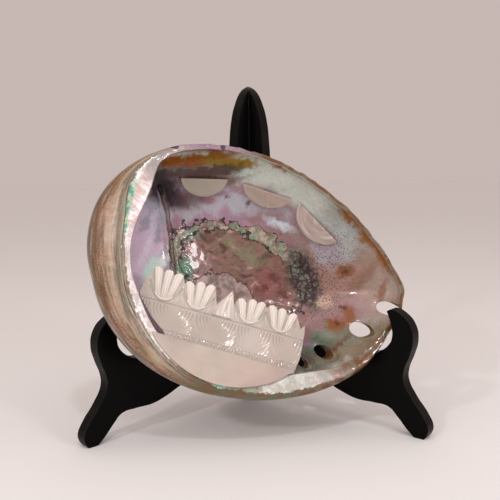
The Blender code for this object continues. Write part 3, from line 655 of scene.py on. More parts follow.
STAINS_AND_PAINTED_LIGHT = (
    ((-24, 73.0), (27, 2.6), 3, 0.3, (142, 82, 18), 1.0),
    ((0, 71.0), (16, 2.4), -8, 0.3, (150, 122, 46), 1.0),
    ((-50, 69.5), (7, 3.0), 24, 0.4, (160, 100, 36), 0.9),
    # Painted shade: dark brown bands along the left half-moon's straight edge, below the ochre stain
    ((-18, 67.8), (27, 3.0), 0, 0.35, (66, 46, 26), 0.92),
    ((-12, 63.5), (24, 2.0), 0, 0.4, (84, 60, 46), 0.7),
    ((33, 64.5), (9, 1.2), -18, 0.4, (150, 84, 30), 0.9),
    ((48, 56.5), (10, 1.2), -34, 0.4, (130, 76, 36), 0.8),
    ((60, 46), (6, 1.4), -48, 0.4, (140, 88, 40), 0.7), ((70, 32), (8, 1.8), -54, 0.4, (150, 96, 36), 0.95),
    ((80, 19), (6, 3.0), -58, 0.4, (160, 98, 34), 0.9),
    ((87.5, 6), (10, 2.4), -66, 0.4, (158, 100, 40), 0.9),
    ((70.5, 2.4), (4.6, 4.2), 0, 0.35, (138, 84, 28), 0.95),
    ((59.8, -31), (5.4, 4.4), 20, 0.4, (150, 88, 30), 0.95),
    ((69, -26), (3.4, 8.4), -8, 0.4, (152, 92, 36), 0.9), ((76, -6), (3, 9), -30, 0.4, (140, 96, 56), 0.6),
    ((88, -14), (2.0, 7), -20, 0.4, (140, 90, 50), 0.7), ((82, -2), (2, 8), -30, 0.4, (130, 86, 56), 0.5),
    ((56, -45), (12, 1.2), 34, 0.4, (110, 76, 44), 0.8),
    *((spot, (1.4, 1.2), 0, 0.5, (84, 40, 18), 0.85)
      for spot in ((70.5, 2.0), (60.5, -30.5), (67, -20), (-1, 55), (14, 50))),
    # Painted highlights: a white-blue spot, a gold spot, mint and white spots and lilac sheen streaks on the
    # left wall
    ((33, 36.2), (9.0, 2.0), -28, 0.7, (206, 218, 226), 0.95),
    ((57, -15), (4.5, 3.4), 0, 0.6, (214, 188, 158), 0.9),
    ((-50, 10), (4.2, 11), -26, 0.6, (214, 250, 240), 1.0),
    ((-42.5, 17), (2.8, 5), -30, 0.6, (240, 250, 250), 0.95),
    ((-49, 32), (2.6, 14), -14, 0.7, (226, 210, 236), 0.7),
    ((-54, 20), (1.8, 12), -26, 0.7, (234, 220, 240), 0.7),
    # Painted shade beside the hollow under the spire, the grey of the roll-over, and the hollow itself as
    # near-black painted shade
    ((-24, 54), (12, 4.5), 10, 0.6, (84, 54, 50), 0.75),
    ((-52, 64), (8, 5), -50, 0.6, (160, 158, 152), 0.8), ((-42, 60), (15, 9), -28, 0.5, (4, 8, 3), 1.0),
)


def layered(points, ovals, size, reach):
    """The colour and cover that ragged ovals give at points, one laid over another."""
    noise.seed_set(EDGE_SEED)
    push = np.array([noise.turbulence_vector(point / size, 4, False) for point in map(Vector, points)])
    x, y = (points[:, :2] + push[:, :2] * reach).T
    color = np.zeros((len(points), 3))
    clear = np.ones(len(points))
    for centre, radii, turn, soft, tone, strength in ovals:
        t = np.clip((1 + soft - from_oval(x, y, centre, radii, turn)) / (2 * soft), 0, 1)
        cover = strength * t * t * (3 - 2 * t)
        color = color * (1 - cover)[:, None] + np.array(paint(*tone)[:3]) * cover[:, None]
        clear *= 1 - cover
    cover = 1 - clear
    return np.column_stack((color / np.maximum(cover, 1e-6)[:, None], cover))


def nacre_finish():
    """The shell's colours: bands that follow the rim, the muscle scar, stains, the striped flank, and painted
    highlights and shade.
    """
    nacre = Finish("abalone_nacre", {"Specular IOR Level": 0.35, "Coat Roughness": 0.06,
                                     "Thin Film Thickness": 380.0, "Thin Film IOR": 1.45})
    place = nacre.place()
    x, y = nacre.x_and_y(place)
    flat = nacre.node("ShaderNodeCombineXYZ", {}, (x, y, 0.0))
    across = nacre.kept("across")
    inset = (across - 2) * 100
    azimuth = nacre.math("ARCTAN2", y, x) * (180 / math.pi)
    heading = nacre.vector("NORMALIZE", flat)
    small = nacre.cloud(place, 1.8, 5.0)
    middling = nacre.cloud(place, 6.0, 5.0)
    large = nacre.cloud(place, 22.0, 4.0)

    def over(ground, *layers):
        """Lays colours over a ground, each given as its cover and its colour."""
        for cover, tone in layers:
            ground = nacre.mix(cover, ground, tone)
        return ground

    def mottled(low, high, first, second):
        """Two colours in soft blotches a few millimetres across."""
        return nacre.mix(middling.rises(low, high), first, second)

    def strayed(size, reach, detail):
        """The place in the mouth's plane, pushed about by noise."""
        inputs = {"Vector": place, "Scale": 1 / size, "Detail": detail}
        push = nacre.node("ShaderNodeTexNoise", {}, inputs, output=1)
        push = nacre.vector("SUBTRACT", push, (0.5, 0.5, 0.5))
        return nacre.vector("ADD", flat, nacre.vector("MULTIPLY", push, (reach, reach, 0.0)))

    loose = strayed(9.0, 20.0, 5.0)
    frayed = strayed(2.4, 7.0, 5.0)
    ripple = nacre.vector("SUBTRACT", strayed(2.0, 3.2, 0.0), flat)
    wavy = nacre.vector("ADD", strayed(5.5, 9.0, 0.5), ripple)

    def oval(ground, centre, size, turn):
        """Distance from a centre, 1 on an oval round it."""
        inputs = {"Vector": ground, "Location": (*centre, 0), "Rotation": (0, 0, math.radians(turn)),
                  "Scale": (*size, 1)}
        local = nacre.node("ShaderNodeMapping", {"vector_type": "TEXTURE"}, inputs)
        return nacre.vector("LENGTH", local, output=0)

    def patch(centre, size, turn, soft, ground=loose):
        """1 inside an oval place on the wall, with ragged edges, and 0 outside."""
        return 1 - oval(ground, centre, size, turn).rises(1 - soft, 1 + soft)

    def inside(shape, soft):
        """1 inside an oval of the scar, with a wavy edge, and 0 outside."""
        return 1 - oval(wavy, *shape).rises(1 - soft, 1 + soft)

    def line(shape, width):
        """1 along the wavy edge of an oval of the scar, as a thin line."""
        away = abs(oval(wavy, *shape) - 1) * min(shape[1])
        return 1 - away.rises(width * 0.35, width)

    def near(angle, width, soft=0.5):
        """1 round an azimuth, falling to 0 a width away."""
        away = abs(nacre.math("WRAP", azimuth - angle, 180.0, -180.0))
        return 1 - away.rises(width * (1 - soft), width * (1 + soft))

    def streaks(round_rim, way, grain, detail=4.0):
        """Noise on the rim's own coordinates: how fine it is along the rim and across it."""
        along = nacre.vector("MULTIPLY", heading, (round_rim, round_rim, 0.0))
        lift = nacre.node("ShaderNodeCombineXYZ", {}, (0.0, 0.0, way * grain))
        return nacre.cloud(nacre.vector("ADD", along, lift), 1.0, detail)

    def cells(feature, inputs):
        """Cells a few millimetres across, as pebbles, bubbles or dots."""
        return nacre.node("ShaderNodeTexVoronoi", {"feature": feature}, inputs)

    # The bowl: bands that follow the rim, then washes laid over them
    swirl = streaks(3.0, inset, 0.16, 5.0)
    band = inset / 70 + (large - 0.5) * 0.34 + (swirl - 0.5) * 0.14
    color = nacre.ramp(band, (
        (0.0, (150, 132, 112)), (1.0, (150, 108, 102)), (0.06, (158, 158, 140)), (0.14, (200, 206, 196)),
        (0.24, (188, 198, 190)), (0.31, (170, 152, 150)), (0.38, (158, 126, 134)), (0.45, (160, 150, 166)),
        (0.53, (152, 116, 130)), (0.64, (148, 108, 108)),
    ))
    color = over(
        color,
        (swirl.rises(0.55, 0.66) * 0.35, (196, 196, 190)),
        ((1 - swirl.rises(0.36, 0.46)) * 0.35, (118, 98, 92)),
        (nacre.kept("wash", 3), nacre.kept("wash", 0)))

    # The muscle scar: an olive ring of rough nacre round a rose middle, edged with thin brown lines
    scar = inside(SCAR, 0.01)
    olive = nacre.ramp(middling, (
        (0.36, (104, 96, 76)), (0.66, (172, 160, 138)), (0.46, (142, 126, 104)), (0.56, (150, 138, 116))))
    rose = nacre.ramp(nacre.cloud(nacre.stretched(loose, (0.6, 1.3, 1.0)), 6.0, 6.0, 0.4), (
        (0.36, (86, 60, 42)), (0.68, (206, 176, 160)), (0.44, (122, 90, 68)), (0.50, (140, 108, 90)),
        (0.58, (146, 104, 94))))
    pebbles = cells("SMOOTH_F1", {"Vector": frayed, "Scale": 0.42, "Smoothness": 0.4})
    bubbles = cells("DISTANCE_TO_EDGE", {"Vector": frayed, "Scale": 0.27})
    bubbled = patch((48, -1), (8, 19), 14, 0.35, frayed) * (1 - bubbles.rises(0.05, 0.20))
    lines = nacre.math("MAXIMUM", line(SCAR, 0.5), line(SCAR_MIDDLE, 0.6))
    color = over(
        color,
        (scar, olive),
        (scar * pebbles.rises(0.52, 0.66) * 0.6, (206, 200, 180)),
        (nacre.cloud(place, 3.6, 4.0).rises(0.52, 0.60) * scar * 0.6, (116, 160, 130)),
        (inside(SCAR_MIDDLE, 0.02) * scar * 0.92, rose),
        (patch((27, 1), (12, 12), -30, 0.6) * 0.75,
         mottled(0.42, 0.58, (104, 42, 36), (148, 84, 80))),
        (patch((12, 22), (18, 3), -35, 0.7) * 0.6, (140, 146, 108)),
        (inside(SCAR_CORE, 0.03) * 0.9, mottled(0.40, 0.60, (138, 124, 112), (198, 172, 168))),
        (patch((-28, 12), (5.5, 8), -14, 0.5, frayed) * 0.85, (92, 158, 126)),
        (patch((-22, 34), (6, 3), 30, 0.6, frayed) * 0.7, (128, 160, 134)),
        (patch((47, 2), (9, 21), 14, 0.35, frayed) * 0.8,
         mottled(0.42, 0.58, (72, 62, 48), (112, 118, 96))),
        (bubbled * 0.9, (34, 28, 20)),
        (lines * 0.92, (34, 24, 14)),
        (line(SCAR_CORE, 0.8) * 0.85, (70, 40, 24)))

    # Stains with their painted highlights and painted shade, and dots, then the crease that runs down from
    # the hollow under the spire
    dots = cells("F1", {"Vector": place, "Scale": 0.85, "Randomness": 1.0})
    dotted = patch((59, 0), (15, 28), -12, 0.6) * (1 - dots.rises(0.26, 0.46)) * middling.rises(0.36, 0.48)
    fold = x + 35.5 + (y - 22) ** 2 * 0.0037 + (nacre.cloud(place, 5.0, 2.0) - 0.5) * 2.4
    fold_reach = y.rises(6, 18) * (1 - y.rises(54, 60))
    crease = nacre.math("MAXIMUM", fold.peaks(-1.5, 0.7), fold.peaks(1.0, 0.6)) * fold_reach
    color = over(
        color,
        (nacre.kept("stain_and_painted_light", 3), nacre.kept("stain_and_painted_light", 0)),
        (dotted * 0.85, (74, 40, 34)),
        (fold_reach * fold.peaks(-0.2, 2.0) * 0.7, (120, 98, 84)),
        (crease * 0.85, (50, 38, 30)),
        (fold_reach * fold.peaks(-3.4, 1.4) * 0.5, (178, 172, 176)))

    # The flank: polished layers that follow the margin, from the grey edge to the olive band beside the
    # ledge.
    # Its pale middle bands are partly a painted highlight on the rounded margin, the olive band partly
    # painted shade.
    layers = across + (streaks(3.0, across, 5.0) - 0.5) * 0.34
    flank = nacre.ramp(layers * 0.8, (
        (0.0, (70, 72, 74)), (1.0, (140, 130, 108)), (0.05, (128, 124, 118)), (0.14, (124, 102, 78)),
        (0.23, (144, 110, 78)), (0.31, (176, 152, 124)), (0.41, (190, 170, 148)), (0.48, (124, 116, 94)),
        (0.58, (150, 146, 124)), (0.66, (190, 180, 156)), (0.75, (98, 92, 70)), (0.86, (166, 162, 138)),
    ))
    combed = streaks(5.0, across, 22.0, 5.0)
    speckle = nacre.cloud(place, 0.8, 5.0).rises(0.54, 0.64) * layers.peaks(0.26, 0.2)
    # Painted sheen: pale pink streaks low on the left of the flank
    painted_sheen = streaks(9.0, across, 9.0).rises(0.46, 0.60) * near(214, 20) * across.rises(0.5, 0.8)
    rim_brown = mottled(0.42, 0.60, (100, 68, 38), (124, 110, 84))
    flank = over(
        flank,
        (combed.rises(0.54, 0.64) * 0.45, (198, 182, 166)),
        ((1 - combed.rises(0.38, 0.47)) * 0.55, (84, 72, 56)),
        (speckle * 0.8, (88, 50, 26)),
        (painted_sheen * 0.85, (226, 208, 202)),
        (near(266, 34), mottled(0.44, 0.56, (112, 84, 50), (98, 98, 70))),
        (near(30, 62), rim_brown),
        (near(318, 26), rim_brown),
        (near(100, 17), nacre.mix(small, (140, 108, 132), (176, 148, 168))))

    # The ledge: ragged white nacre whose brightness is partly a painted highlight, with pink and green lights
    # where it is widest and a painted turquoise highlight low down
    crossing = streaks(60.0, across, 1.5, 3.0)
    wide = near(146, 16)
    shimmer = nacre.ramp(nacre.cloud(place, 4.0, 3.0), (
        (0.38, (70, 170, 140)), (0.62, (214, 190, 150)), (0.46, (120, 196, 180)), (0.54, (176, 220, 190))))
    green_edge = near(150, 13) * (1 - (across + (middling - 0.5) * 0.5 - 1).rises(0.22, 0.46))
    thin_rim = over(
        mottled(0.44, 0.60, (116, 78, 38), (122, 112, 88)),
        (near(98, 16), nacre.mix(small, (146, 122, 138), (180, 160, 172))))
    ledge = over(
        mottled(0.40, 0.56, (226, 214, 212), (255, 253, 251)),
        (wide * crossing.rises(0.48, 0.60) * 0.6, (224, 172, 168)),
        (wide * (1 - crossing.rises(0.36, 0.48)) * 0.5, (244, 244, 238)),
        (green_edge, shimmer),
        (near(122, 9) * 0.8, (150, 146, 140)),
        (near(188, 16) * small.rises(0.50, 0.62) * 0.4, (190, 154, 154)),
        (near(240, 10) * 0.85, nacre.mix(small, (110, 84, 62), (150, 126, 104))),
        # Painted highlight: a turquoise glint on the lower ledge
        (near(254, 5) * small.rises(0.34, 0.46), (140, 206, 186)),
        (near(264, 9) * 0.9, mottled(0.44, 0.54, (108, 88, 52), (140, 156, 124))),
        (near(292, 20) * middling.rises(0.34, 0.52) * 0.85,
         mottled(0.4, 0.6, (158, 168, 156), (214, 216, 208))),
        (near(30, 84, 0.12), thin_rim))
    start = 1.0 + near(182, 22) * 0.42 + near(224, 14) * 0.10 + near(250, 22) * 0.2
    ragged = across + (small - 0.5) * 0.5 + (streaks(14.0, across, 3.0) - 0.5) * 0.5
    rim = nacre.mix((ragged - start).rises(-0.04, 0.06), flank, ledge)

    # The back: growth bands round the spire in brown, olive and rose under the polish
    from_spire = nacre.vector("LENGTH", nacre.vector("SUBTRACT", loose, (*SPIRE_CENTRE, 0.0)), output=0)
    back = nacre.ramp(nacre.math("FRACT", from_spire / 11), (
        (0.0, (108, 70, 52)), (1.0, (108, 70, 52)), (0.18, (148, 112, 86)), (0.36, (122, 114, 86)),
        (0.55, (160, 138, 124)), (0.72, (134, 98, 76)),
    ))
    back = over(
        back,
        (middling.rises(0.52, 0.66) * 0.45, (112, 138, 120)),
        (small.rises(0.58, 0.70) * 0.6, (78, 42, 32)))
    # Painted shade: a dark line along the crest and a painted shadow line under the lip's inner edge
    color = over(
        nacre.mix(across.rises(1.96, 2.03), rim, color),
        (across.peaks(1.0, 0.07) * near(180, 60) * 0.4, (86, 76, 62)),
        (across.peaks(2.02, 0.05) * near(175, 60) * 0.6, (60, 48, 50)))
    color = nacre.mix(across.rises(-0.06, -0.005), back, color)

    # Pink and green lights under the polish, fine growth lines, and the shine
    lights = nacre.ramp(nacre.cloud(nacre.stretched(place, (0.7, 1.4, 1.0)), 5.0, 5.0, 1.0), (
        (0.36, (96, 176, 150)), (0.64, (214, 130, 160)), (0.50, (150, 146, 156))))
    color = nacre.mix(0.20, color, lights, "SOFT_LIGHT")
    fine = nacre.cloud(nacre.stretched(place, (1.0, 1.0, 0.5)), 0.8, 4.0)
    color = nacre.vector("SCALE", color, 1.0 + (fine - 0.5) * 0.35 + (small - 0.5) * 0.16)
    bright = across.rises(0.9, 1.3) * (1 - across.rises(2.0, 2.04))
    lightness = nacre.vector("DOT_PRODUCT", color, (0.3, 0.5, 0.2), output=0).rises(0.02, 0.14)
    nacre.feed(Base_Color=color, Roughness=0.42 - lightness * 0.12 + (small - 0.5) * 0.3 - bright * 0.06)
    nacre.feed(Metallic=lightness * 0.06 + bright * 0.04, Coat_Weight=lightness * 0.62 - scar * 0.15)
    nacre.feed(Normal=nacre.bump(fine * 0.2 + small * 0.4 + middling * 0.8, 0.22))
    return nacre


seat = Matrix.Translation(STAND_PLACE + Vector(MOUTH_CENTRE) * MM)
seat = seat @ Matrix.Rotation(SHELL_TURN, 4, "Z") @ Matrix.Rotation(math.radians(90) - SHELL_LEAN, 4, "X")
new_piece("nacre_shell", shell_mesh(), nacre_finish(), seat, "abalone_nacre", "shell")

# Three half-moon plates of pale pearl shell, each about 30 long and 1 thick, glued to the upper wall with
# the sawn straight edge towards the rim and the round edge down in the bowl.
# Each as (side, the chord's two ends, a point low on the arc), then its colours for pearl_finish.
HALF_MOONS = (
    (("left", (-29.6, 66.0), (-0.4, 64.2), (-14.6, 56.2)),
     ((158, 150, 138), (170, 162, 150), (14, 40, 0.12, 0.05), 0.12)),
    (("middle", (9.4, 61.6), (38.9, 48.9), (23.2, 47.4)),
     ((172, 152, 142), (181, 162, 152), (4, 30, 0.45, 0.05), 0.16)),
    # The right plate's strong bright streaks are partly growth lines and partly a painted highlight.
    (("right", (43.8, 46.0), (66.0, 20.6), (48.4, 27.8)),
     ((178, 160, 152), (194, 178, 170), (17, 6, 0.015, 0.5), 0.8)),
)
HALF_MOON_THICKNESS = 1.0
HALF_MOON_LIFT = 0.9
HALF_MOON_STEPS = 73
HALF_MOON_ROWS = 26
PLATE_EDGE = 0.35


def relief_plate(name, columns, low, high, rows, thickness, relief):
    """A plate drawn column by column between two edges, with relief on its face and a flat back."""
    u = np.repeat(columns[:, None], rows + 1, axis=1)
    t = np.repeat(np.linspace(0, 1, rows + 1)[None, :], len(columns), axis=0)
    w = low[:, None] + (high - low)[:, None] * t
    from_ends = np.minimum(u - columns[0], columns[-1] - u)
    reach = np.minimum(np.minimum(w - low[:, None], high[:, None] - w), from_ends)
    rounded = PLATE_EDGE * (1 - np.sqrt(1 - (1 - np.clip(reach / PLATE_EDGE, 0, 1)) ** 2))
    height = relief(u, w) - rounded
    work = bmesh.new()
    grid = [[work.verts.new(Vector((u[i, j], w[i, j], height[i, j])) * MM) for j in range(rows + 1)]
            for i in range(len(columns))]
    for i in range(len(columns) - 1):
        for j in range(rows):
            work.faces.new((grid[i][j], grid[i + 1][j], grid[i + 1][j + 1], grid[i][j + 1]))
    border = [grid[i][0] for i in range(len(columns))] + grid[-1][1:]
    border += [grid[i][-1] for i in range(len(columns) - 2, -1, -1)] + grid[0][-2:0:-1]
    foot = [work.verts.new((v.co.x, v.co.y, -thickness * MM)) for v in border]
    for i, vertex in enumerate(border):
        work.faces.new((border[i - 1], foot[i - 1], foot[i], vertex))
    work.faces.new(foot[::-1])
    bmesh.ops.remove_doubles(work, verts=work.verts, dist=0.000002)
    mesh = built_mesh(name, work)
    kept = mesh.attributes.new("relief", "FLOAT", "POINT")
    x, y = (np.array([vertex.co[axis] / MM for vertex in mesh.vertices]) for axis in (0, 1))
    kept.data.foreach_set("value", relief(x, y).astype(np.float32))
    return smoothed(mesh, PEARL_SHARP_ANGLE)


def arc_plate(name, place, chord, low_point, steps, rows, thickness, relief):
    """A plate between a chord along its X and the round edge that passes a point below the chord."""
    low = (place.inverted() @ (low_point * MM)) / MM
    share = -2 * chord * low.y
    middle = chord**2 * -low.y / share
    centre = (chord**2 * low.x - (low.x**2 + low.y**2) * chord) / share
    radius = math.dist((middle, centre), (0, 0))
    columns = chord / 2 * (1 - np.cos(np.linspace(0, math.pi, steps)))
    edge = centre - np.sqrt(np.maximum(radius**2 - (columns - middle) ** 2, 0))
    return relief_plate(name, columns, edge, np.zeros(steps), rows, thickness, relief)


def pearl_finish(name, shade, light, fan, streaks, blush=0.0):
    """Polished pearl shell: two close tones, faint growth lines that fan out, a soft pink cloud, and painted
    shade in the relief's hollows with painted highlights on its raised tops.
    """
    pearl = Finish(name, {"Roughness": 0.20, "Coat Weight": 0.9, "Coat Roughness": 0.08,
                          "Subsurface Weight": 0.25, "Subsurface Scale": 0.003,
                          "Thin Film Thickness": 420.0, "Thin Film IOR": 1.45})
    place = pearl.place()
    cloud = pearl.cloud(place, 34.0, 1.0).rises(0.36, 0.64)
    x, y = pearl.x_and_y(place)
    spread = pearl.math("ARCTAN2", y - fan[1], x - fan[0]) * 57
    reach = ((x - fan[0]) ** 2 + (y - fan[1]) ** 2) ** 0.5
    fanned = pearl.node("ShaderNodeCombineXYZ", {}, (spread * fan[2], reach * fan[3], 0.0))
    lines = pearl.cloud(fanned, 1.0)
    pink = pearl.cloud(place, 40.0, 1.0).rises(0.46, 0.66)
    groove = pearl.kept("relief")
    color = pearl.mix(cloud, shade, light)
    for cover, tone in (
        (lines.rises(0.52, 0.70) * streaks, [min(255, c + 34) for c in light]),
        ((1 - lines.rises(0.30, 0.48)) * streaks, [c - 18 for c in shade]),
        (pink * blush, (206, 168, 164)),
        # Painted shade in the relief's hollows, then painted highlights on its raised tops
        ((1 - groove.rises(-0.40, 0.03)) * 0.5, [c * 0.70 for c in shade]),
        (groove.rises(0.5, 1.3) * 0.8, [min(255, c + 44) for c in light]),
    ):
        color = pearl.mix(cover, color, tone)
    pearl.feed(Base_Color=color)
    pearl.feed(Normal=pearl.bump(lines * 0.4 + pearl.cloud(place, 1.6, 3.0) * 0.6, 0.12))
    return pearl


def plane_matrix(origin, along, normal):
    """A place whose X runs along a line and whose Z is the normal."""
    z = normal.normalized()
    x = (along - z * along.dot(z)).normalized()
    y = z.cross(x)
    return Matrix.Translation(origin * MM) @ Matrix((x, y, z)).transposed().to_4x4()


for (side_name, *spots), colors in HALF_MOONS:
    corners = [Vector((*spot, float(inner_height(*spot)))) for spot in spots]
    along = corners[1] - corners[0]
    normal = along.cross(corners[2] - corners[0])
    if normal.z < 0:
        normal.negate()
    lift = normal.normalized() * (HALF_MOON_LIFT + HALF_MOON_THICKNESS)
    moon_place = plane_matrix(corners[0] + lift, along, normal)
    mesh = arc_plate("half_moon_" + side_name, moon_place, along.length, corners[2] + lift, HALF_MOON_STEPS,
                     HALF_MOON_ROWS, HALF_MOON_THICKNESS, lambda u, w: 0.03 * np.sin(w * 0.9 + u * 0.3))
    new_piece("half_moon_plate_" + side_name, mesh, pearl_finish("pearl_" + side_name, *colors),
              seat @ moon_place, "pale_pearl", "half_moon_" + side_name)

# The pocket front: a thin, slightly clear half-moon almost 80 long, laid flat on the lower ledge with its
# round edge on the shell and its straight edge free, so that it closes the lower left as a pocket.
POCKET_CHORD = ((-55.4, -30.4), (22.6, -58.4))
POCKET_LOW_POINT = (-11.0, -64.7)
POCKET_THICKNESS = 1.4
POCKET_BACK = -0.8
POCKET_STEPS = 121
POCKET_ROWS = 40

pocket_face = POCKET_BACK + POCKET_THICKNESS
chord = Vector(POCKET_CHORD[1]) - Vector(POCKET_CHORD[0])
pocket_place = (Matrix.Translation(Vector((*POCKET_CHORD[0], pocket_face)) * MM)
                @ Matrix.Rotation(math.atan2(chord.y, chord.x), 4, "Z"))
pocket_mesh = arc_plate("pocket_front", pocket_place, chord.length, Vector((*POCKET_LOW_POINT, pocket_face)),
                        POCKET_STEPS, POCKET_ROWS, POCKET_THICKNESS,
                        lambda u, w: 0.04 * np.sin(w * 0.9) + 0.03 * np.sin(u * 0.5 + w * 0.3))
pocket_finish = pearl_finish("clear_pearl", (188, 175, 167), (204, 196, 184), (20, 90, 0.10, 0.05), 0.15, 0.3)
new_piece("pocket_plate", pocket_mesh, pocket_finish, seat @ pocket_place, "clear_pearl", "pocket_front")

# The carved plate: a pearl plate 100 long and under 2 thick, tucked behind the pocket front. Its upper half
# is cut as a row of tulips and a leaf in relief, its lower half engraved with drapery below a border line.
CARVED_ORIGIN = (-50.3, -30.1, -5.4)
CARVED_TURN = math.radians(-19.0)
CARVED_LEAN = math.radians(8.0)
CARVED_THICKNESS = 1.8
CARVED_DEEPER = 1.3
CARVED_BORDER = 17.0
CARVED_STEPS = 371
CARVED_ROWS = 140
CARVED_LOW_EDGE = ((-16.9, 18.2), (-14.6, 15.0), (-6.6, 6.4), (1.2, 0.6), (7.0, -6.0), (74.0, -6.0),
                   (79.4, -4.4), (81.7, 6.2), (82.0, 20.6))
CARVED_HIGH_START = ((-16.9, 18.4), (-15.5, 27.4), (-13.6, 31.6))
CARVED_HIGH_END = ((79.0, 23.2), (81.2, 25.9), (82.0, 21.0))
PETALS = ((-9.9, 36.5), (-3.4, 36.4), (2.8, 35.9), (9.6, 33.0), (16.1, 34.6), (22.3, 34.6), (41.2, 31.5),
          (47.9, 32.8), (53.5, 32.7), (60.1, 32.5), (66.3, 32.3), (73.5, 31.2))
TULIP_MIDDLES = (-3.4, 16.1, 47.4, 66.4)
TULIP_PETALS = 3
PETAL_WIDTH = 5.9
LEAF_TIP = (34.8, 34.7)
LEAF_FOOT = ((27.4, 23.8), (37.4, 26.2))
SWAG_ENDS = (-34.0, -8.5, 16.7, 42.0, 62.6, 84.0)
SWAG_TOP = 14.5
SWAG_DROP = 13.0
SWAG_PITCH = 1.9


def petal_edge():
    """The scalloped top edge of the plate, from left to right."""
    edge = list(CARVED_HIGH_START)
    for u, w in PETALS:
        if u > LEAF_TIP[0] > edge[-1][0]:
            edge += [LEAF_FOOT[0], LEAF_TIP, LEAF_FOOT[1]]
        for turn in range(160, 15, -10):
            angle = math.radians(turn)
            edge.append((u + PETAL_WIDTH / 2 * math.cos(angle), w - PETAL_WIDTH / 2 * (1 - math.sin(angle))))
    edge += CARVED_HIGH_END
    return np.array(sorted(edge)).T


def tulip(u, w, petals, middle):
    """A tulip of three ribbed petals that lean out of a round cup standing on the border line."""
    height = np.zeros_like(u)
    for petal_u, petal_w in petals:
        t = np.clip((w - CARVED_BORDER) / (petal_w - CARVED_BORDER), 0, 1)
        centre = middle + (petal_u - middle) * (0.35 + 0.65 * t**0.8)
        side = (u - centre) / (PETAL_WIDTH * (0.28 + 0.25 * t))
        dome = np.sqrt(np.clip(1 - side**2, 0, 1))
        ribs = 0.13 * np.cos(side * 9.4) * dome + 0.2 * np.cos(side * 14) * dome * np.clip(1 - 2.0 * t, 0, 1)
        height = np.maximum(height, dome * (0.75 + 0.25 * t) + ribs)
    cup = CARVED_BORDER + 0.8 + 9.5 * np.abs((u - middle) / 9.2) ** 2.3
    near = np.clip((9.8 - np.abs(u - middle)) / 0.8, 0, 1)
    bead = 0.75 * np.exp(-(((w - cup) / 0.55) ** 2)) * near
    leaves = 0.45 * np.exp(-(((w - cup + 3.2) / 0.9) ** 2)) * near
    leaves *= np.clip((np.abs(u - middle) - 4) / 3, 0, 1)
    return np.maximum(height * np.clip((w - cup) / 0.7, 0, 1) * near, 0) + bead + leaves


def carved_relief(u, w):
    """The carving's height above the plate's face: tulips and a leaf above the border, drapery below it."""
    height = np.zeros_like(u)
    for number, middle in enumerate(TULIP_MIDDLES):
        first = number * TULIP_PETALS
        height = np.maximum(height, tulip(u, w, PETALS[first:first + TULIP_PETALS], middle))
    t = np.clip((w - CARVED_BORDER) / (LEAF_TIP[1] - CARVED_BORDER), 0, 1)
    side = (u - 32.4 - 2.6 * t) / (6.6 * (1 - t) ** 0.7 + 0.3)
    leaf = np.sqrt(np.clip(1 - side**2, 0, 1)) * 0.8 + 0.12 * np.cos(side * 12 + t * 9) * (np.abs(side) < 1)
    height = np.maximum(height, leaf - 0.35 * np.exp(-((side / 0.12) ** 2)) * (t < 0.95))
    height *= np.clip((w - CARVED_BORDER) / 0.5, 0, 1) * CARVED_DEEPER
    height -= 0.35 * np.exp(-(((w - CARVED_BORDER + 0.3) / 0.40) ** 2))
    below = np.clip((CARVED_BORDER - 1 - w) / 0.8, 0, 1)
    for start, end in zip(SWAG_ENDS, SWAG_ENDS[1:]):
        half = (end - start) / 2
        side = (u - (start + end) / 2) / half
        ring = np.hypot(side, np.minimum(w - SWAG_TOP, 0) / SWAG_DROP)
        steep = np.clip(np.abs(side) / np.maximum(ring, 0.01), 0, 1) ** 4
        folds = (0.5 + 0.5 * np.cos(math.tau * ring * half / SWAG_PITCH)) ** 1.5
        inside = (ring < 1.0) * np.clip((ring - 0.2) / 0.2, 0, 1) * (np.abs(side) < 1)
        height -= (0.015 + 0.34 * steep) * folds * inside * below
        from_end = np.minimum(np.abs(u - start), np.abs(u - end))
        corner = 0.5 + 0.5 * np.cos(math.tau * (w * 0.5 + from_end) / 2.0)
        height -= 0.15 * corner * (ring > 1.03) * (np.abs(side) < 1) * below * (w < SWAG_TOP - 2)
    fringe = (0.5 + 0.5 * np.cos(u * 4.2)) * np.clip((0.5 - w) / 0.6, 0, 1)
    height -= 0.2 * fringe + 0.2 * np.exp(-(((w - 1.0) / 0.3) ** 2))
    return height


edge_u, edge_w = petal_edge()
low_u, low_w = np.array(CARVED_LOW_EDGE).T
columns = np.linspace(low_u[0], low_u[-1], CARVED_STEPS)
low, high = np.interp(columns, low_u, low_w), np.interp(columns, edge_u, edge_w)
carved_mesh = relief_plate("carved_plate", columns, low, high, CARVED_ROWS, CARVED_THICKNESS, carved_relief)
carved_place = Matrix.Translation(Vector(CARVED_ORIGIN) * MM) @ Matrix.Rotation(CARVED_TURN, 4, "Z")
carved_place = carved_place @ Matrix.Rotation(-CARVED_LEAN, 4, "X")
carved_place = carved_place @ Matrix.Translation((0, 0, CARVED_THICKNESS * MM / 2))
carved_finish = pearl_finish("carved_pearl", (196, 186, 178), (212, 203, 196), (30, 160, 0.12, 0.05), 0.15,
                             0.15)
new_piece("carved_pearl_plate", carved_mesh, carved_finish, seat @ carved_place, "carved_pearl",
          "carved_plate")

# The floor: a plain sheet of pale paper, laid flat under the stand and wide enough to reach the horizon
# in every view. It stands for the backdrop and is no part of the object.
FLOOR_REACH = 6.0
floor_mesh = bpy.data.meshes.new("pale_floor")
work = bmesh.new()
bmesh.ops.create_grid(work, x_segments=8, y_segments=8, size=FLOOR_REACH)
work.to_mesh(floor_mesh)
work.free()
floor = in_scene("pale_floor", floor_mesh)
pale = Finish("pale_floor", {"Roughness": 0.8, "Base Color": paint(254, 254, 254), "Specular IOR Level": 0.1})
floor_mesh.materials.append(pale.material)

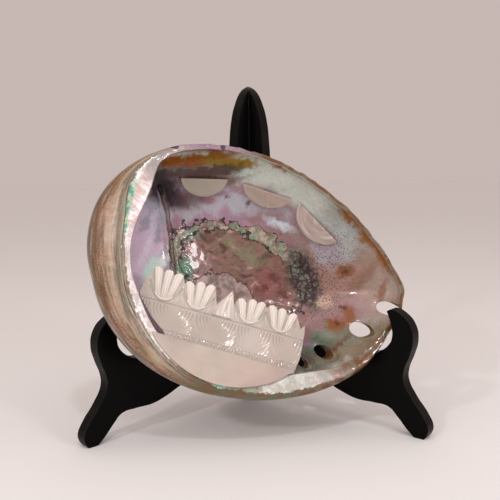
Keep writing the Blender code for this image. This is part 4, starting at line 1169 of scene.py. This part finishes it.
# Soft studio light: a pinkish room, a large lamp high on the left, a smaller one on the right and a low
# fill, with three small bright windows for glints on the polish. Each as (name, place, size, watts, tint),
# with places and sizes in metres.
scene = bpy.context.scene
scene.view_settings.view_transform = "Standard"
room = bpy.data.worlds.new("soft_room")
room.use_nodes = True
room.node_tree.nodes["Background"].inputs["Color"].default_value = paint(200, 185, 180)
room.node_tree.nodes["Background"].inputs["Strength"].default_value = 0.98
scene.world = room
LAMPS = (("high_left", (-0.55, -0.55, 0.85), (0.7, 0.7), 0.75, (1.0, 0.98, 0.97)),
         ("high_right", (0.65, -0.20, 0.80), (0.5, 0.5), 0.4, (1.0, 0.97, 0.95)),
         ("window_left", (-0.50, -0.60, 0.55), (0.06, 0.06), 1.15, (1.0, 0.99, 0.98)),
         ("window_top", (0.10, -0.50, 0.90), (0.06, 0.06), 1.05, (1.0, 0.99, 0.98)),
         ("window_right", (0.60, -0.60, 0.35), (0.12, 0.12), 1.3, (1.0, 0.99, 0.98)),
         ("front_fill", (0.05, -1.10, 0.45), (0.9, 0.6), 0.4, (1.0, 0.98, 0.97)))
LAMP_TARGET = Vector((0.0, -0.02, 0.10))
for lamp_name, spot, size, power, tint in LAMPS:
    lamp_data = bpy.data.lights.new(lamp_name, "AREA")
    lamp_data.shape = "RECTANGLE"
    lamp_data.size, lamp_data.size_y = size
    lamp_data.energy = power
    lamp_data.color = tint
    lamp = in_scene(lamp_name, lamp_data)
    lamp.location = spot
    aim = LAMP_TARGET - Vector(spot)
    lamp.rotation_euler = aim.to_track_quat("-Z", "Y").to_euler()

# The camera stands where the photograph was taken from, a little above the shell and looking slightly
# down, with the lens that gives the photograph's perspective on a frame 36 wide.
CAMERA_PLACE = Vector((-17.32, -459.73, 157.53)) * MM + STAND_PLACE
yaw, pitch, roll = -0.037, 0.121, -0.011
forward = Vector((-math.sin(yaw) * math.cos(pitch), math.cos(yaw) * math.cos(pitch), -math.sin(pitch)))
right = Vector((math.cos(yaw), math.sin(yaw), 0))
up = right.cross(forward)
rolled_right = right * math.cos(roll) + up * math.sin(roll)
rolled_up = up * math.cos(roll) - right * math.sin(roll)
camera_data = bpy.data.cameras.new("camera")
camera_data.lens = 50.4
camera_data.sensor_width = 36
camera = in_scene("camera", camera_data)
axes = Matrix((rolled_right, rolled_up, -forward)).transposed().to_4x4()
camera.matrix_world = Matrix.Translation(CAMERA_PLACE) @ axes
scene.camera = camera
bpy.context.view_layer.update()
